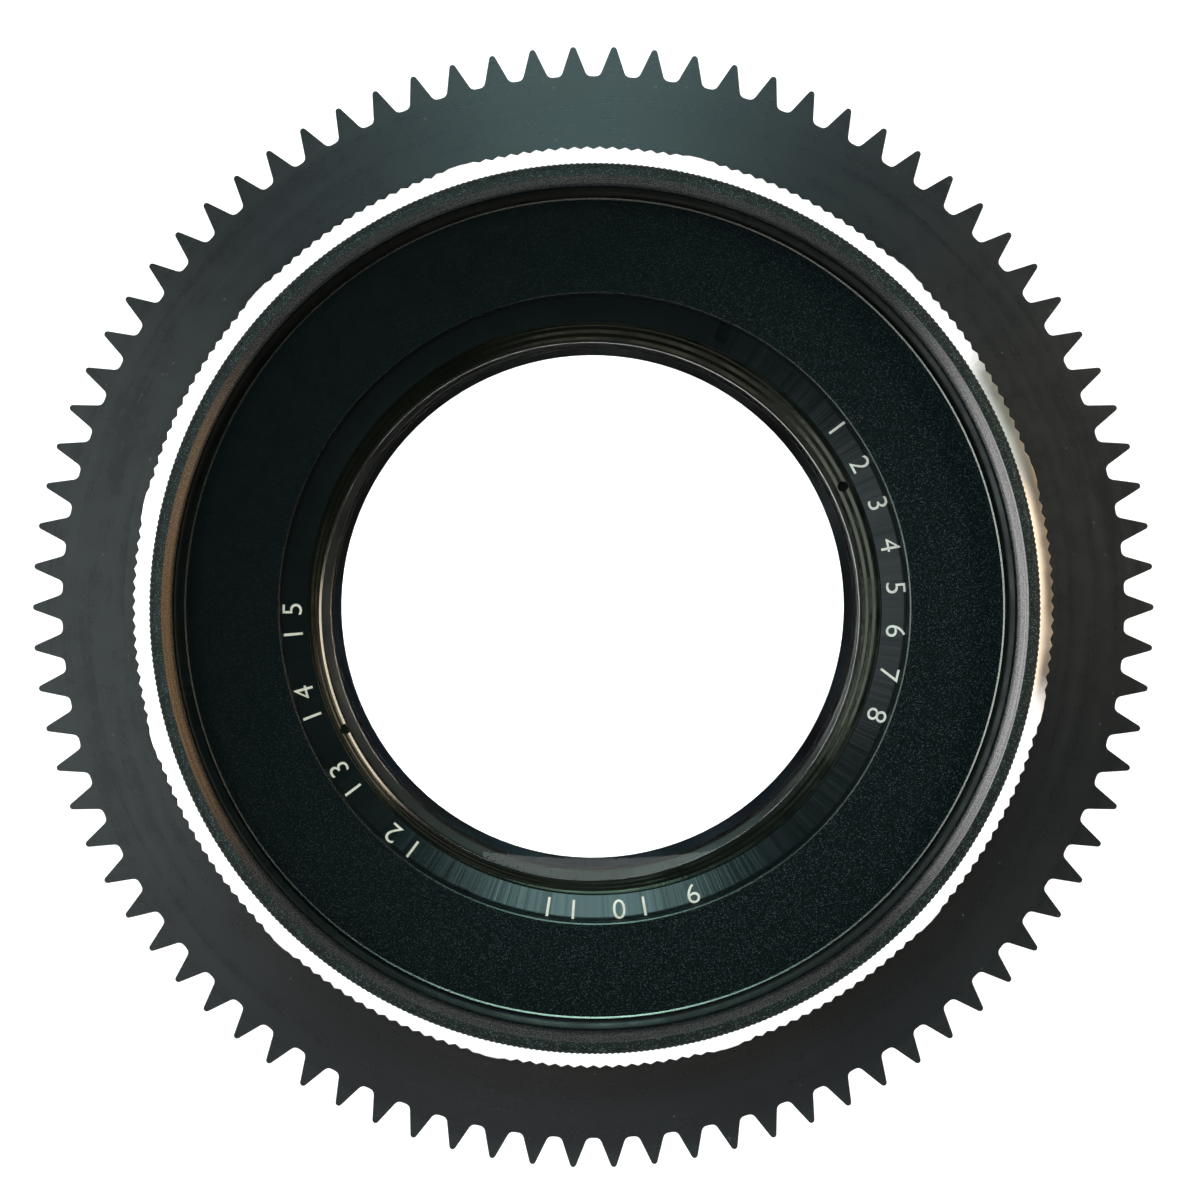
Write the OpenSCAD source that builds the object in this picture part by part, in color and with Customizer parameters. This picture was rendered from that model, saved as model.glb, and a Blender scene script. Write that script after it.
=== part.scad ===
// Long prime lens for film work, with a press-on focus gear and a filter step-up ring.
// It stands on its camera thread. The optical axis is Z, the front of the lens points up,
// and the origin is the centre of the rear end. Rest is infinity focus with the iris open.

/* [Camera mount] */
// Outer radius of the camera thread, which all the other radii follow
thread_r = 21; // [19:0.1:23.5]
// Wall of the camera thread
thread_wall = 2.5; // [2:0.1:3]
// Length of the camera thread
thread_len = 4.5; // [3:0.5:6]
// Step from the rear barrel in to the mount flange
flange_step = 1.1; // [0.4:0.1:1.6]
// Thickness of the mount flange
flange_t = 3.5; // [3:0.25:5]
// Length of the collar that the rear barrel screws on to
collar_len = 5; // [4:0.5:7]

/* [Rear barrel] */
// Length of the rear barrel up to the focus ring
barrel_len = 32; // [28:1:36]
// Length of the neck that the focus ring turns on
neck_len = 7; // [5:0.5:9]
// Wall of the neck
neck_wall = 2.1; // [1.8:0.05:2.6]
// Step from the neck out to the rear barrel
barrel_step = 0.7; // [0.5:0.05:1.2]
// Width of the depth scale band
depth_band_w = 9; // [6:0.5:12]
// Thickness of the scale bands
band_t = 0.5; // [0.3:0.05:0.7]

/* [Focus ring] */
// Length from the rear barrel to the front face of the gear
focus_len = 38; // [34:1:44]
// Length of the distance scale at the rear of the focus ring
scale_len = 11.5; // [10:0.5:13]
// Step from the rear barrel out to the skirt of the focus ring
skirt_step = 0.2; // [0.1:0.05:0.5]
// Step from the distance scale out to the serrations
grip_step = 0.45; // [0.3:0.05:0.8]
// Height of the shoulder that the gear rests on
shoulder_h = 0.4; // [0.3:0.05:1]
// Serrations around the grip
serrations = 226; // [180:2:260]
// Depth of a serration
serration_depth = 0.18; // [0.1:0.02:0.24]
// Smooth lobes around the grip
lobes = 12; // [8:1:16]
// Width of a lobe in degrees
lobe_w = 8; // [4:0.5:12]
// Height of a lobe
lobe_h = 0.15; // [0.05:0.05:0.25]
// Height of the bright front bevel
bevel_h = 1.3; // [0.8:0.05:1.8]
// Width of the bright front bevel, across the axis
bevel_w = 2.1; // [1.9:0.05:2.3]

/* [Focus gear] */
// Wall of the gear under its teeth
gear_wall = 4.44; // [3:0.02:6]
// Module of the teeth
gear_module = 0.8; // [0.8:0.01:0.9]
// Width of the gear along the axis
gear_width = 10; // [6:0.5:12]
// Depth of a tooth
tooth_depth = 1.87; // [1.6:0.01:2]
// Thickness of a tooth at the pitch circle
tooth_w = 0.86; // [0.8:0.01:0.95]
// Flank angle of a tooth
flank_deg = 20; // [18:0.5:22]
// Fillet at the foot of a tooth
tooth_fillet = 0.38; // [0.2:0.02:0.4]

/* [Helicoid] */
// Axial travel of the head from infinity to close focus
focus_travel = 16; // [12:0.5:17]
// Step from the light path through the mount out to the bore of the guide tube
guide_step = 1.3; // [1:0.1:2]
// Wall of the guide tube
guide_wall = 1; // [0.8:0.05:1.1]
// Gap between the guide tube and the head sleeve
slide_gap = 0.3; // [0.2:0.05:0.5]
// Wall of the head sleeve
sleeve_wall = 1.7; // [1.4:0.05:2]
// Wall of the brass helicoid
helicoid_wall = 1.7; // [1.4:0.05:2]
// Gap between the helicoid and the rear barrel
barrel_gap = 0.2; // [0.15:0.05:0.4]
// Width of a guide key
key_w = 4; // [3:0.25:6]
// Length of a guide key
key_len = 8; // [6:0.5:10]

/* [Aperture rings] */
// Thickness of the aperture and preset rings
ring_wall = 2.85; // [2.2:0.05:3.2]
// Length of the aperture ring
aperture_len = 5.6; // [4.5:0.1:7]
// Length of the preset ring
preset_len = 6; // [5:0.1:8]
// Wall of the front barrel outside the head sleeve
front_wall = 0.6; // [0.4:0.05:1]
// Turn of the aperture ring in degrees
aperture_turn = 60; // [40:1:70]
// Ribs around each ring
ring_ribs = 90; // [60:2:120]
// Depth of a rib
rib_depth = 0.35; // [0.2:0.05:0.5]
// Width of the smooth numbered band on each ring
number_band_w = 2.5; // [2:0.1:3]
// Step from the crests of the ribs in to the numbered band
number_band_step = 0.18; // [0.1:0.02:0.3]

/* [Front] */
// Wall of the step-up ring outside the filter thread
rim_w = 1.4; // [1.2:0.05:2]
// Step from the front barrel out to the crests of the filter thread
filter_step = 2.2; // [1.8:0.05:2.6]
// Depth of the filter well
well_depth = 4; // [3:0.25:5]
// Thickness of the step-up plate
plate_t = 1.7; // [1.4:0.1:2.4]
// Step from the optical barrel out to the threaded spigot
spigot_step = 0.9; // [0.7:0.05:1.1]
// Wall of the threaded spigot
spigot_wall = 1; // [0.7:0.05:1.2]
// Length of the threaded spigot
spigot_len = 3; // [2:0.25:4]
// Width of the engraved front ring
name_w = 2.2; // [2:0.05:2.4]
// Thickness of the engraved front ring
name_t = 3; // [2.5:0.1:3.6]

/* [Glass] */
// Wall of the optical barrel around the front element
optical_wall = 1.1; // [1:0.05:1.3]
// Centre thickness of the front element
e1_t = 6; // [5.6:0.1:7]
// Front curvature of the front element
e1_front = 48; // [44:0.5:60]
// Rear curvature of the front element
e1_rear = 200; // [150:5:300]
// Width of the retainer in front of the front element
retainer_w = 1.67; // [1.3:0.01:2]
// Air space behind the front element
air_gap = 0.8; // [0.6:0.1:1.4]
// Step from the front element in to the cemented pair
pair_step = 1.8; // [1.7:0.05:2.2]
// Centre thickness of the front half of the pair
crown_t = 7; // [6.6:0.1:8]
// Centre thickness of the rear half of the pair
flint_t = 3; // [2.5:0.1:4]
// Front curvature of the pair
pair_front = 38; // [36:0.5:46]
// Curvature of the cemented surface
pair_cement = 120; // [100:5:200]
// Rear curvature of the pair
pair_rear = 34; // [32:0.5:44]
// Width of the seat at the rear of the pair
pair_lip = 2.7; // [2.4:0.05:3]
// Step from the cemented pair in to the rear element
rear_step = 2.7; // [2.4:0.05:3]
// Centre thickness of the rear element
e4_t = 4; // [3.5:0.1:5]
// Front curvature of the rear element
e4_front = 120; // [90:5:200]
// Rear curvature of the rear element
e4_rear = 400; // [300:10:600]

/* [Iris] */
// Step from the seat of the pair in to the fixed stop
stop_step = 1.38; // [1.2:0.02:2]
// Step from the fixed stop out to an open blade
blade_reveal = 0.18; // [0.1:0.02:0.5]
// Step from the pivots in to the outer edge of an open blade
blade_inset = 0.5; // [0.4:0.05:1]
// Arc of a blade in degrees
blade_arc = 112; // [90:1:125]
// Thickness of a blade
blade_t = 0.08; // [0.06:0.01:0.1]
// Layer height in the stack of blades
layer_h = 0.16; // [0.14:0.01:0.2]
// Step from the optical barrel in to the circle of blade pivots
pivot_step = 2.1; // [2:0.05:2.2]
// Radius of a blade pivot
pivot_pin_r = 0.3; // [0.25:0.01:0.32]

/* [Clearances] */
// Between turning or sliding faces, radially
run_fit = 0.05; // [0.03:0.01:0.08]
// Between turning faces, along the axis
end_fit = 0.3; // [0.2:0.05:0.4]
// Between assembled pieces that don't move
seat_fit = 0.03; // [0.02:0.01:0.05]

/* [Hidden] */
$fn = 96;

// Colours of the finishes
black_paint = [0.06, 0.07, 0.07];
black_plastic = [0.15, 0.16, 0.17];
bright_alloy = [0.82, 0.82, 0.80];
brass_alloy = [0.72, 0.58, 0.30];
steel = [0.55, 0.55, 0.56];
clear_glass = [0.80, 0.90, 0.92, 0.35];

// Overlap of joined solids, and overshoot of the bodies that cut, wide and slight
lap = 0.5;
cut = 1;
skin = 0.01;

// Radii from the light path out to the gear
rear_bore_r = thread_r - thread_wall;
guide_bore_r = rear_bore_r + guide_step;
guide_r = guide_bore_r + guide_wall;
sleeve_bore_r = guide_r + slide_gap;
sleeve_r = sleeve_bore_r + sleeve_wall;
helicoid_bore_r = sleeve_r + 2 * run_fit;
helicoid_r = helicoid_bore_r + helicoid_wall;
barrel_bore_r = helicoid_r + barrel_gap;
neck_r = barrel_bore_r + neck_wall;
barrel_r = neck_r + barrel_step;
flange_r = barrel_r - flange_step;
skirt_r = barrel_r + skirt_step;
grip_r = skirt_r + band_t + grip_step + serration_depth / 2;

// Radii in the head, from the optical barrel out to the rim
guide_gap = 0.5;
name_gap = 0.4;
optical_r = guide_bore_r - guide_gap;
spigot_r = optical_r + spigot_step;
opening_r = spigot_r - spigot_wall;
name_out_r = spigot_r - name_gap;
name_r = name_out_r - name_w;
front_r = sleeve_r + front_wall;
ring_r = front_r + run_fit + ring_wall;
filter_r = front_r + filter_step;
rim_r = filter_r + rim_w;

// Radii of the glass and the iris, from the optical barrel in to the stop
lens_fit = 0.1;
e1_r = optical_r - optical_wall - lens_fit;
e1_clear_r = e1_r - retainer_w;
pair_r = e1_r - pair_step;
pair_clear_r = pair_r - pair_lip;
e4_r = pair_r - rear_step;
stop_r = pair_clear_r - stop_step;
blade_in_r = stop_r + blade_reveal;
pivot_r = optical_r - pivot_step;
blade_out_r = pivot_r - blade_inset;

// Heights along the axis, from the camera thread up to the focus ring
z_flange = thread_len;
z_barrel = z_flange + flange_t;
z_focus = z_barrel + barrel_len;
z_gear_front = z_focus + focus_len;
z_bevel_top = z_gear_front + bevel_h;
z_gear_back = z_gear_front - gear_width;

// Heights in the head, from the focus ring up to the rim
collar_t = 0.8;
retainer_t = 0.9;
head_gap = 1.3;
z_head = z_bevel_top + head_gap;
z_aperture = z_head + collar_t + run_fit;
z_preset = z_aperture + aperture_len + end_fit;
z_ring_retainer = z_preset + preset_len + run_fit;
z_front = z_ring_retainer + retainer_t;
z_plate = z_front + plate_t;
z_rim = z_plate + well_depth;
z_name = z_front - spigot_len - end_fit;
z_cell = z_name - name_t;
collar_step = 1.2;
collar_r = front_r + collar_step;
rim_chamfer = 0.8;
notch_deg = 65;
notch_w = 0.8;
notch_len = 1.2;
notch_depth = 0.6;
notch_inset = 0.5;
thread_relief = 0.8;
relief_w = 0.6;
undercut = 0.6;
undercut_rise = 0.3;
plate_r = filter_r - relief_w;
plate_seat_r = filter_r + undercut - seat_fit;

// Sag of a spherical surface of the given curvature at a distance from the axis
function sag(curve, r) = curve - sqrt(curve * curve - r * r);

// Heights of the glass, from the front retainer down
retainer_h = 2.4;
retainer_land = 1;
hole_deg = 26;
hole_r = 0.4;
hole_depth = 1.6;
hole_shift = 0.1;
z_e1 = z_cell - retainer_h + sag(e1_front, e1_clear_r) - seat_fit;
z_e1_seat = z_e1 - e1_t - sag(e1_rear, e1_r) - seat_fit;
z_pair = z_e1 - e1_t - air_gap;
pair_ring_w = 1;
pair_ring_r = pair_r - pair_ring_w;
pair_ring_t = 1.4;
z_pair_ring = z_pair - sag(pair_front, pair_ring_r) + seat_fit;
z_cement = z_pair - crown_t;
z_pair_rear = z_cement - flint_t;
z_pair_seat = z_pair_rear - sag(pair_rear, pair_clear_r) - seat_fit;
web_t = 1.4;
z_web = z_pair_seat - web_t;
blank = 20;

// Heights of the iris, from the web of the optical barrel down
blades = 12;
drive_ring_t = 0.9;
iris_gap = 0.1;
z_drive_ring = z_web - iris_gap - drive_ring_t;
z_blades = z_drive_ring - iris_gap - blades * layer_h;
base_t = 1.1;
z_base = z_blades - iris_gap - base_t;
pivot_margin = 1.4;
iris_room_r = pivot_r + pivot_margin;
base_rim_w = 0.4;
ear_r = 0.8;
ear_len = 2;

// The optical barrel and the rear cell
cell_thread_len = 3;
z_cell_flange = z_base - cell_thread_len;
cell_flange_t = 1.5;
cell_len = 13;
z_cell_rear = z_cell_flange - cell_len;
cell_wall = 2.6;
cell_lip = 0.7;
cell_clear_r = e4_r - cell_lip;
cell_tail = 4.5;
z_e4_rear_edge = z_cell_rear + cell_tail;
z_e4_rear = z_e4_rear_edge + sag(e4_rear, e4_r);
z_e4 = z_e4_rear + e4_t;
z_e4_front_edge = z_e4 - sag(e4_front, e4_r);
rear_ring_t = 1.5;

// The drive tube that links the aperture ring to the iris
drive_gap = 0.2;
drive_r = optical_r + drive_gap;
drive_wall = sleeve_bore_r - guide_gap - drive_r;
optical_flange_t = 1;
optical_flange_r = spigot_r - name_gap / 2;
web_top = z_cell - optical_flange_t;
head_web_t = 1;
z_drive_top = web_top - head_web_t - end_fit;
drive_screw_drop = 0.6;
z_drive_screw = z_aperture + aperture_len / 2 - drive_screw_drop;
drive_screw_r = 0.8;
drive_screw_sink = 0.3;
drive_tail = 1;
lug_w = 2;
lug_deg = 90;
lug_overlap = 0.8;
lug_gap = 0.1;
slot_margin_deg = 6;

// The guide tube, its keys and the slots they run in
guide_lip = 1.5;
z_guide = z_flange + guide_lip;
guide_inset = 18;
z_guide_top = z_gear_front - guide_inset;
key_inset = 2;
z_key = z_guide_top - key_inset - key_len;
key_end_gap = 0.6;
sleeve_tail = 2.4;
z_sleeve = z_key - focus_travel - key_end_gap - sleeve_tail;
key_gap = 0.4;
sleeve_socket = 1.2;

// The focus ring and what is fixed in it
helicoid_gap = 0.6;
z_helicoid = z_focus + neck_len + helicoid_gap;
helicoid_inset = 1;
z_grip = z_focus + scale_len;
helicoid_screw_r = 0.8;
screw_floor = 0.6;
screw_sink = 0.2;
mount_screw_r = 1;
snap_w = 1;
z_snap = z_focus + neck_len / 2;
snap_depth = 0.7;
snap_slot = 3;
lobe_phase = 17;
bevel_margin = 0.02;
bevel_r = grip_r + max(serration_depth / 2, lobe_h) + bevel_margin;
gear_seat_len = gear_width + lap;

// Radius gained at an angle by the smooth lobes, as a share of their height
function lobe_share(a) =
    let (pitch = 360 / lobes)
    let (off = abs(a - lobe_phase - pitch * round((a - lobe_phase) / pitch)))
    off < lobe_w / 2 ? (1 + cos(360 * off / lobe_w)) / 2 : 0;

// Outline of a serrated ring with smooth lobes
function grip_outline(r) =
    [for (i = [0 : 2 * serrations - 1])
        let (a = i * 180 / serrations)
        let (share = lobe_share(a))
        let (side = i % 2 == 0 ? 0.5 : -0.5)
        let (q = r + side * serration_depth * (1 - share) + share * lobe_h)
        [q * cos(a), q * sin(a)]];

// Outline of a ribbed ring whose crests lie at r, with the crest and foot as shares of the pitch
rib_crest = 0.15;
rib_foot = 0.3;
function rib_outline(r) =
    [for (i = [0 : ring_ribs - 1], side = [-rib_foot, -rib_crest, rib_crest, rib_foot])
        let (a = (i + side) * 360 / ring_ribs)
        let (q = abs(side) < rib_foot ? r : r - rib_depth)
        [q * cos(a), q * sin(a)]];

// Outline of the gear: straight flanks, a full round at each tip and a fillet at each foot
gear_bore_r = grip_r + run_fit;
gear_reach = gear_bore_r + gear_wall + tooth_depth;
gear_teeth = round(2 * (gear_reach - gear_module) / gear_module);
gear_pitch_r = gear_module * gear_teeth / 2;
gear_tip_r = gear_pitch_r + gear_module;
gear_root_r = gear_tip_r - tooth_depth;
tip_round = (tooth_w / 2 * cos(flank_deg) - gear_module * sin(flank_deg)) / (1 - sin(flank_deg));
fillet_y = gear_root_r + tooth_fillet;
fillet_x = (tooth_fillet - (fillet_y - gear_pitch_r) * sin(flank_deg)) / cos(flank_deg) + tooth_w / 2;
tip_steps = 4;
fillet_steps = 3;
tip_sweep = (180 - 2 * flank_deg) / tip_steps;
fillet_sweep = (90 - flank_deg) / fillet_steps;
right_foot = [for (i = [0 : fillet_steps])
    let (a = 270 - i * fillet_sweep)
    [fillet_x + tooth_fillet * cos(a), fillet_y + tooth_fillet * sin(a)]];
tip = [for (i = [0 : tip_steps])
    let (a = flank_deg + i * tip_sweep)
    [tip_round * cos(a), gear_tip_r - tip_round + tip_round * sin(a)]];
left_foot = [for (i = [0 : fillet_steps])
    let (p = right_foot[fillet_steps - i])
    [-p[0], p[1]]];
tooth = concat(right_foot, tip, left_foot);
gear_outline = [for (k = [0 : gear_teeth - 1], p = tooth)
    let (a = k * 360 / gear_teeth - 90)
    [p[0] * cos(a) - p[1] * sin(a), p[0] * sin(a) + p[1] * cos(a)]];

// A tube between two radii, from a height upwards
module tube(outer, inner, z, h) {
    translate([0, 0, z])
    linear_extrude(h)
    difference() {
        circle(outer);
        circle(inner);
    }
}

// A ring with ribs at one end and a smooth numbered band at the other
module numbered_ring(z, len, ribs_below) {
    rib_len = len - number_band_w;
    z_ribs = ribs_below ? z : z + number_band_w;
    z_band = ribs_below ? z + rib_len : z;
    difference() {
        union() {
            translate([0, 0, z_ribs])
            linear_extrude(rib_len)
            polygon(rib_outline(ring_r));
            translate([0, 0, z_band])
            cylinder(r = ring_r - number_band_step, h = number_band_w);
            translate([0, 0, z])
            cylinder(r = ring_r - rib_depth - lap, h = len);
        }
        bore(front_r + run_fit, z, len);
    }
}

// A round hole through a body, larger than it by a little at both ends
module bore(r, z, h) {
    translate([0, 0, z - skin])
    cylinder(r = r, h = h + 2 * skin);
}

// A radial rod between two radii at a height and an angle
module spoke(r, inner, outer, z, a) {
    rotate([0, 0, a])
    translate([inner, 0, z])
    rotate([0, 90, 0])
    cylinder(r = r, h = outer - inner, $fn = 48);
}

// A block between two radii, cut by an arc that starts at an angle and turns on
module arc_block(outer, inner, z, h, start, turn) {
    rotate([0, 0, start])
    translate([0, 0, z])
    rotate_extrude(angle = turn)
    translate([inner, 0])
    square([outer - inner, h]);
}

// A solid bounded by a dome of the given curvature whose top lies at z
module dome(curve, z) {
    translate([0, 0, z - curve])
    sphere(r = curve, $fn = 200);
}

// Three fixing angles shared by screws around the lens
screw_angles = [30, 150, 270];
mount_screw_z = z_barrel + collar_len / 2;
helicoid_screw_rise = 1.6;
helicoid_screw_z = z_helicoid + helicoid_screw_rise;

module rear_mount() color(black_paint) {
    collar_out_r = barrel_bore_r - seat_fit;
    difference() {
        union() {
            cylinder(r = thread_r, h = z_flange + lap);
            translate([0, 0, z_flange])
            cylinder(r = flange_r, h = flange_t);
            translate([0, 0, z_flange])
            cylinder(r = collar_out_r, h = flange_t + collar_len);
        }
        bore(rear_bore_r, 0, z_barrel + collar_len);
        translate([0, 0, z_guide])
        cylinder(r = guide_r + seat_fit, h = z_barrel + collar_len);
        for (a = screw_angles)
            spoke(mount_screw_r + seat_fit, guide_r + cut, flange_r, mount_screw_z, a);
    }
}

module rear_barrel() color(black_paint) difference() {
    union() {
        translate([0, 0, z_barrel])
        cylinder(r = barrel_r, h = barrel_len);
        translate([0, 0, z_focus - lap])
        cylinder(r = neck_r, h = neck_len + lap);
    }
    bore(barrel_bore_r, z_barrel, barrel_len + neck_len);
    tube(neck_r + cut, neck_r - snap_depth, z_snap - snap_w / 2, snap_w);
    for (a = screw_angles)
        spoke(mount_screw_r + seat_fit, barrel_bore_r - cut, barrel_r + cut, mount_screw_z, a);
}

module depth_scale_band() color(bright_alloy)
    tube(barrel_r + band_t, barrel_r + seat_fit, z_focus - depth_band_w, depth_band_w);

module guide_tube() color(black_paint)
    tube(guide_r, guide_bore_r, z_guide, z_guide_top - z_guide);

module guide_keys() color(steel)
    for (side = [0, 180])
        rotate([0, 0, side])
        intersection() {
            translate([guide_r - cut, -key_w / 2, z_key])
            cube([sleeve_r - guide_r + cut, key_w, key_len]);
            tube(sleeve_r - key_gap, guide_r + seat_fit, z_key, key_len);
        }

module mount_screws() color(steel)
    for (a = screw_angles)
        spoke(mount_screw_r, guide_r + cut + screw_sink, barrel_r - screw_sink, mount_screw_z, a);

module focus_snap_ring() color(steel) difference() {
    tube(neck_r + snap_depth - run_fit, neck_r - snap_depth + run_fit, z_snap - snap_w / 2 + run_fit,
        snap_w - 2 * run_fit);
    translate([neck_r - snap_slot, -snap_slot / 2, z_snap - snap_w])
    cube([2 * snap_slot, snap_slot, 2 * snap_w]);
}

module focus_ring() color(bright_alloy) difference() {
    union() {
        translate([0, 0, z_focus + end_fit])
        cylinder(r = skirt_r, h = scale_len);
        translate([0, 0, z_grip])
        linear_extrude(z_gear_back - z_grip)
        polygon(grip_outline(grip_r + shoulder_h));
        translate([0, 0, z_gear_back - lap])
        intersection() {
            linear_extrude(gear_seat_len + bevel_h)
            polygon(grip_outline(grip_r));
            cylinder(r1 = bevel_r + gear_seat_len * bevel_w / bevel_h, r2 = bevel_r - bevel_w,
                h = gear_seat_len + bevel_h);
        }
    }
    bore(helicoid_r + seat_fit, z_focus, z_bevel_top - z_focus);
    translate([0, 0, z_focus])
    cylinder(r = neck_r + run_fit, h = neck_len + end_fit);
    tube(neck_r + snap_depth + run_fit, neck_r - cut, z_snap - snap_w / 2, snap_w);
    for (a = screw_angles)
        spoke(helicoid_screw_r + seat_fit, helicoid_r - cut, skirt_r + cut, helicoid_screw_z, a);
}

module distance_scale_band() color(black_paint) difference() {
    tube(skirt_r + band_t, skirt_r + seat_fit, z_focus + end_fit, scale_len - end_fit);
    for (a = screw_angles)
        spoke(helicoid_screw_r + seat_fit, helicoid_r - cut, skirt_r + cut, helicoid_screw_z, a);
}

module focus_gear() color(black_plastic)
    translate([0, 0, z_gear_back])
    linear_extrude(gear_width)
    difference() {
        polygon(gear_outline);
        polygon(grip_outline(gear_bore_r));
    }

module helicoid_sleeve() color(brass_alloy) difference() {
    tube(helicoid_r, helicoid_bore_r, z_helicoid, z_gear_front - helicoid_inset - z_helicoid);
    for (a = screw_angles)
        spoke(helicoid_screw_r + seat_fit, helicoid_bore_r + screw_floor, helicoid_r + cut,
            helicoid_screw_z, a);
}

module helicoid_screws() color(steel)
    for (a = screw_angles)
        spoke(helicoid_screw_r, helicoid_bore_r + screw_floor + seat_fit, skirt_r + band_t - screw_sink,
            helicoid_screw_z, a);

module head_sleeve() color(bright_alloy) difference() {
    tube(sleeve_r, sleeve_bore_r, z_sleeve, z_head + sleeve_socket - z_sleeve);
    for (side = [0, 180])
        rotate([0, 0, side])
        translate([sleeve_bore_r - cut, -key_w / 2 - run_fit, z_key - focus_travel - key_end_gap])
        cube([sleeve_r - sleeve_bore_r + 2 * cut, key_w + 2 * run_fit,
            focus_travel + key_len + 2 * key_end_gap]);
}

module front_barrel() color(black_paint) difference() {
    union() {
        translate([0, 0, z_head])
        cylinder(r = front_r, h = z_front - z_head);
        translate([0, 0, z_head])
        cylinder(r = collar_r, h = collar_t);
    }
    bore(sleeve_r + seat_fit, z_head, sleeve_socket);
    bore(sleeve_bore_r, z_head, web_top - head_web_t - z_head);
    bore(optical_r + seat_fit, z_head, web_top - z_head);
    translate([0, 0, web_top])
    cylinder(r = spigot_r + run_fit, h = z_front);
    arc_block(front_r + cut, sleeve_bore_r - cut, z_drive_screw - drive_screw_r - run_fit,
        2 * (drive_screw_r + run_fit), lug_deg - slot_margin_deg, aperture_turn + 2 * slot_margin_deg);
}

module ring_retainer() color(black_paint)
    tube(collar_r, front_r + seat_fit, z_ring_retainer, retainer_t);

module step_up_ring() color(black_paint)
    rotate_extrude()
    polygon([
        [filter_r + undercut, z_front], [rim_r, z_front], [rim_r, z_rim], [filter_r + rim_chamfer, z_rim],
        [filter_r, z_rim - rim_chamfer], [filter_r, z_plate + undercut_rise],
        [filter_r + undercut, z_plate + undercut_rise]]);

module step_up_plate() color(black_paint)
    rotate_extrude()
    polygon([
        [opening_r, z_front - spigot_len], [spigot_r, z_front - spigot_len], [spigot_r, z_front],
        [plate_seat_r, z_front], [plate_seat_r, z_plate - thread_relief],
        [plate_r, z_plate - thread_relief], [plate_r, z_plate], [opening_r, z_plate]]);

module name_ring() color(black_paint) difference() {
    tube(name_out_r, name_r, z_cell, name_t);
    for (side = [0, 180])
        rotate([0, 0, notch_deg + side])
        translate([name_r + notch_inset, -notch_w / 2, z_name - notch_depth])
        cube([notch_len, notch_w, 2 * notch_depth]);
}

module optical_barrel() color(black_paint) difference() {
    union() {
        translate([0, 0, z_cell_flange])
        cylinder(r = optical_r, h = z_cell - z_cell_flange);
        translate([0, 0, web_top])
        cylinder(r = optical_flange_r, h = z_cell - web_top);
    }
    bore(e1_r + lens_fit, z_e1_seat, z_cell - z_e1_seat);
    bore(pair_r + lens_fit, z_pair_seat, z_cell - z_pair_seat);
    bore(pair_clear_r, z_web, z_cell - z_web);
    bore(iris_room_r, z_cell_flange, z_web - z_cell_flange);
    arc_block(optical_r + cut, pair_clear_r + cut, z_drive_ring - iris_gap, z_web - z_drive_ring + iris_gap,
        lug_deg - slot_margin_deg, aperture_turn + 2 * slot_margin_deg);
}

module front_retainer() color(black_paint) difference() {
    translate([0, 0, z_cell - retainer_h])
    cylinder(r = e1_r, h = retainer_h);
    bore(e1_clear_r, z_cell - retainer_h, retainer_h);
    translate([0, 0, z_cell - retainer_h + retainer_land])
    cylinder(r1 = e1_clear_r, r2 = name_r, h = retainer_h - retainer_land + skin);
    for (side = [0, 180])
        rotate([0, 0, hole_deg + side])
        translate([(name_r + e1_clear_r) / 2 + hole_shift, 0, z_cell - hole_depth])
        cylinder(r = hole_r, h = 2 * hole_depth, $fn = 32);
}

module front_element() color(clear_glass) difference() {
    intersection() {
        translate([0, 0, z_e1 - blank])
        cylinder(r = e1_r, h = 2 * blank);
        dome(e1_front, z_e1);
    }
    dome(e1_rear, z_e1 - e1_t);
}

module pair_retainer() color(black_paint)
    tube(pair_r, pair_ring_r, z_pair_ring, pair_ring_t);

module pair_crown() color(clear_glass)
    intersection() {
        translate([0, 0, z_cement - lap])
        cylinder(r = pair_r, h = 2 * blank);
        dome(pair_front, z_pair);
        translate([0, 0, z_cement + pair_cement])
        sphere(r = pair_cement, $fn = 200);
    }

module pair_flint() color(clear_glass) difference() {
    translate([0, 0, z_pair_seat + seat_fit])
    cylinder(r = pair_r, h = z_cement + sag(pair_cement, pair_r) - z_pair_seat - seat_fit);
    translate([0, 0, z_cement + pair_cement])
    sphere(r = pair_cement, $fn = 200);
    dome(pair_rear, z_pair_rear);
}

module rear_cell() color(black_paint) difference() {
    union() {
        translate([0, 0, z_cell_flange])
        cylinder(r = iris_room_r - seat_fit, h = cell_thread_len);
        translate([0, 0, z_cell_flange - cell_flange_t])
        cylinder(r = optical_r, h = cell_flange_t);
        translate([0, 0, z_cell_rear])
        cylinder(r = e4_r + cell_wall, h = cell_len);
    }
    bore(cell_clear_r, z_cell_rear, cell_len + cell_thread_len);
    translate([0, 0, z_cell_rear - cut])
    cylinder(r = e4_r + lens_fit, h = z_e4_front_edge + seat_fit - z_cell_rear + cut);
}

module rear_element() color(clear_glass) difference() {
    intersection() {
        translate([0, 0, z_e4 - blank])
        cylinder(r = e4_r, h = 2 * blank);
        dome(e4_front, z_e4);
    }
    dome(e4_rear, z_e4_rear);
}

module rear_retainer() color(black_paint)
    tube(e4_r, cell_clear_r, z_e4_rear_edge - seat_fit - rear_ring_t, rear_ring_t);

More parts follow.
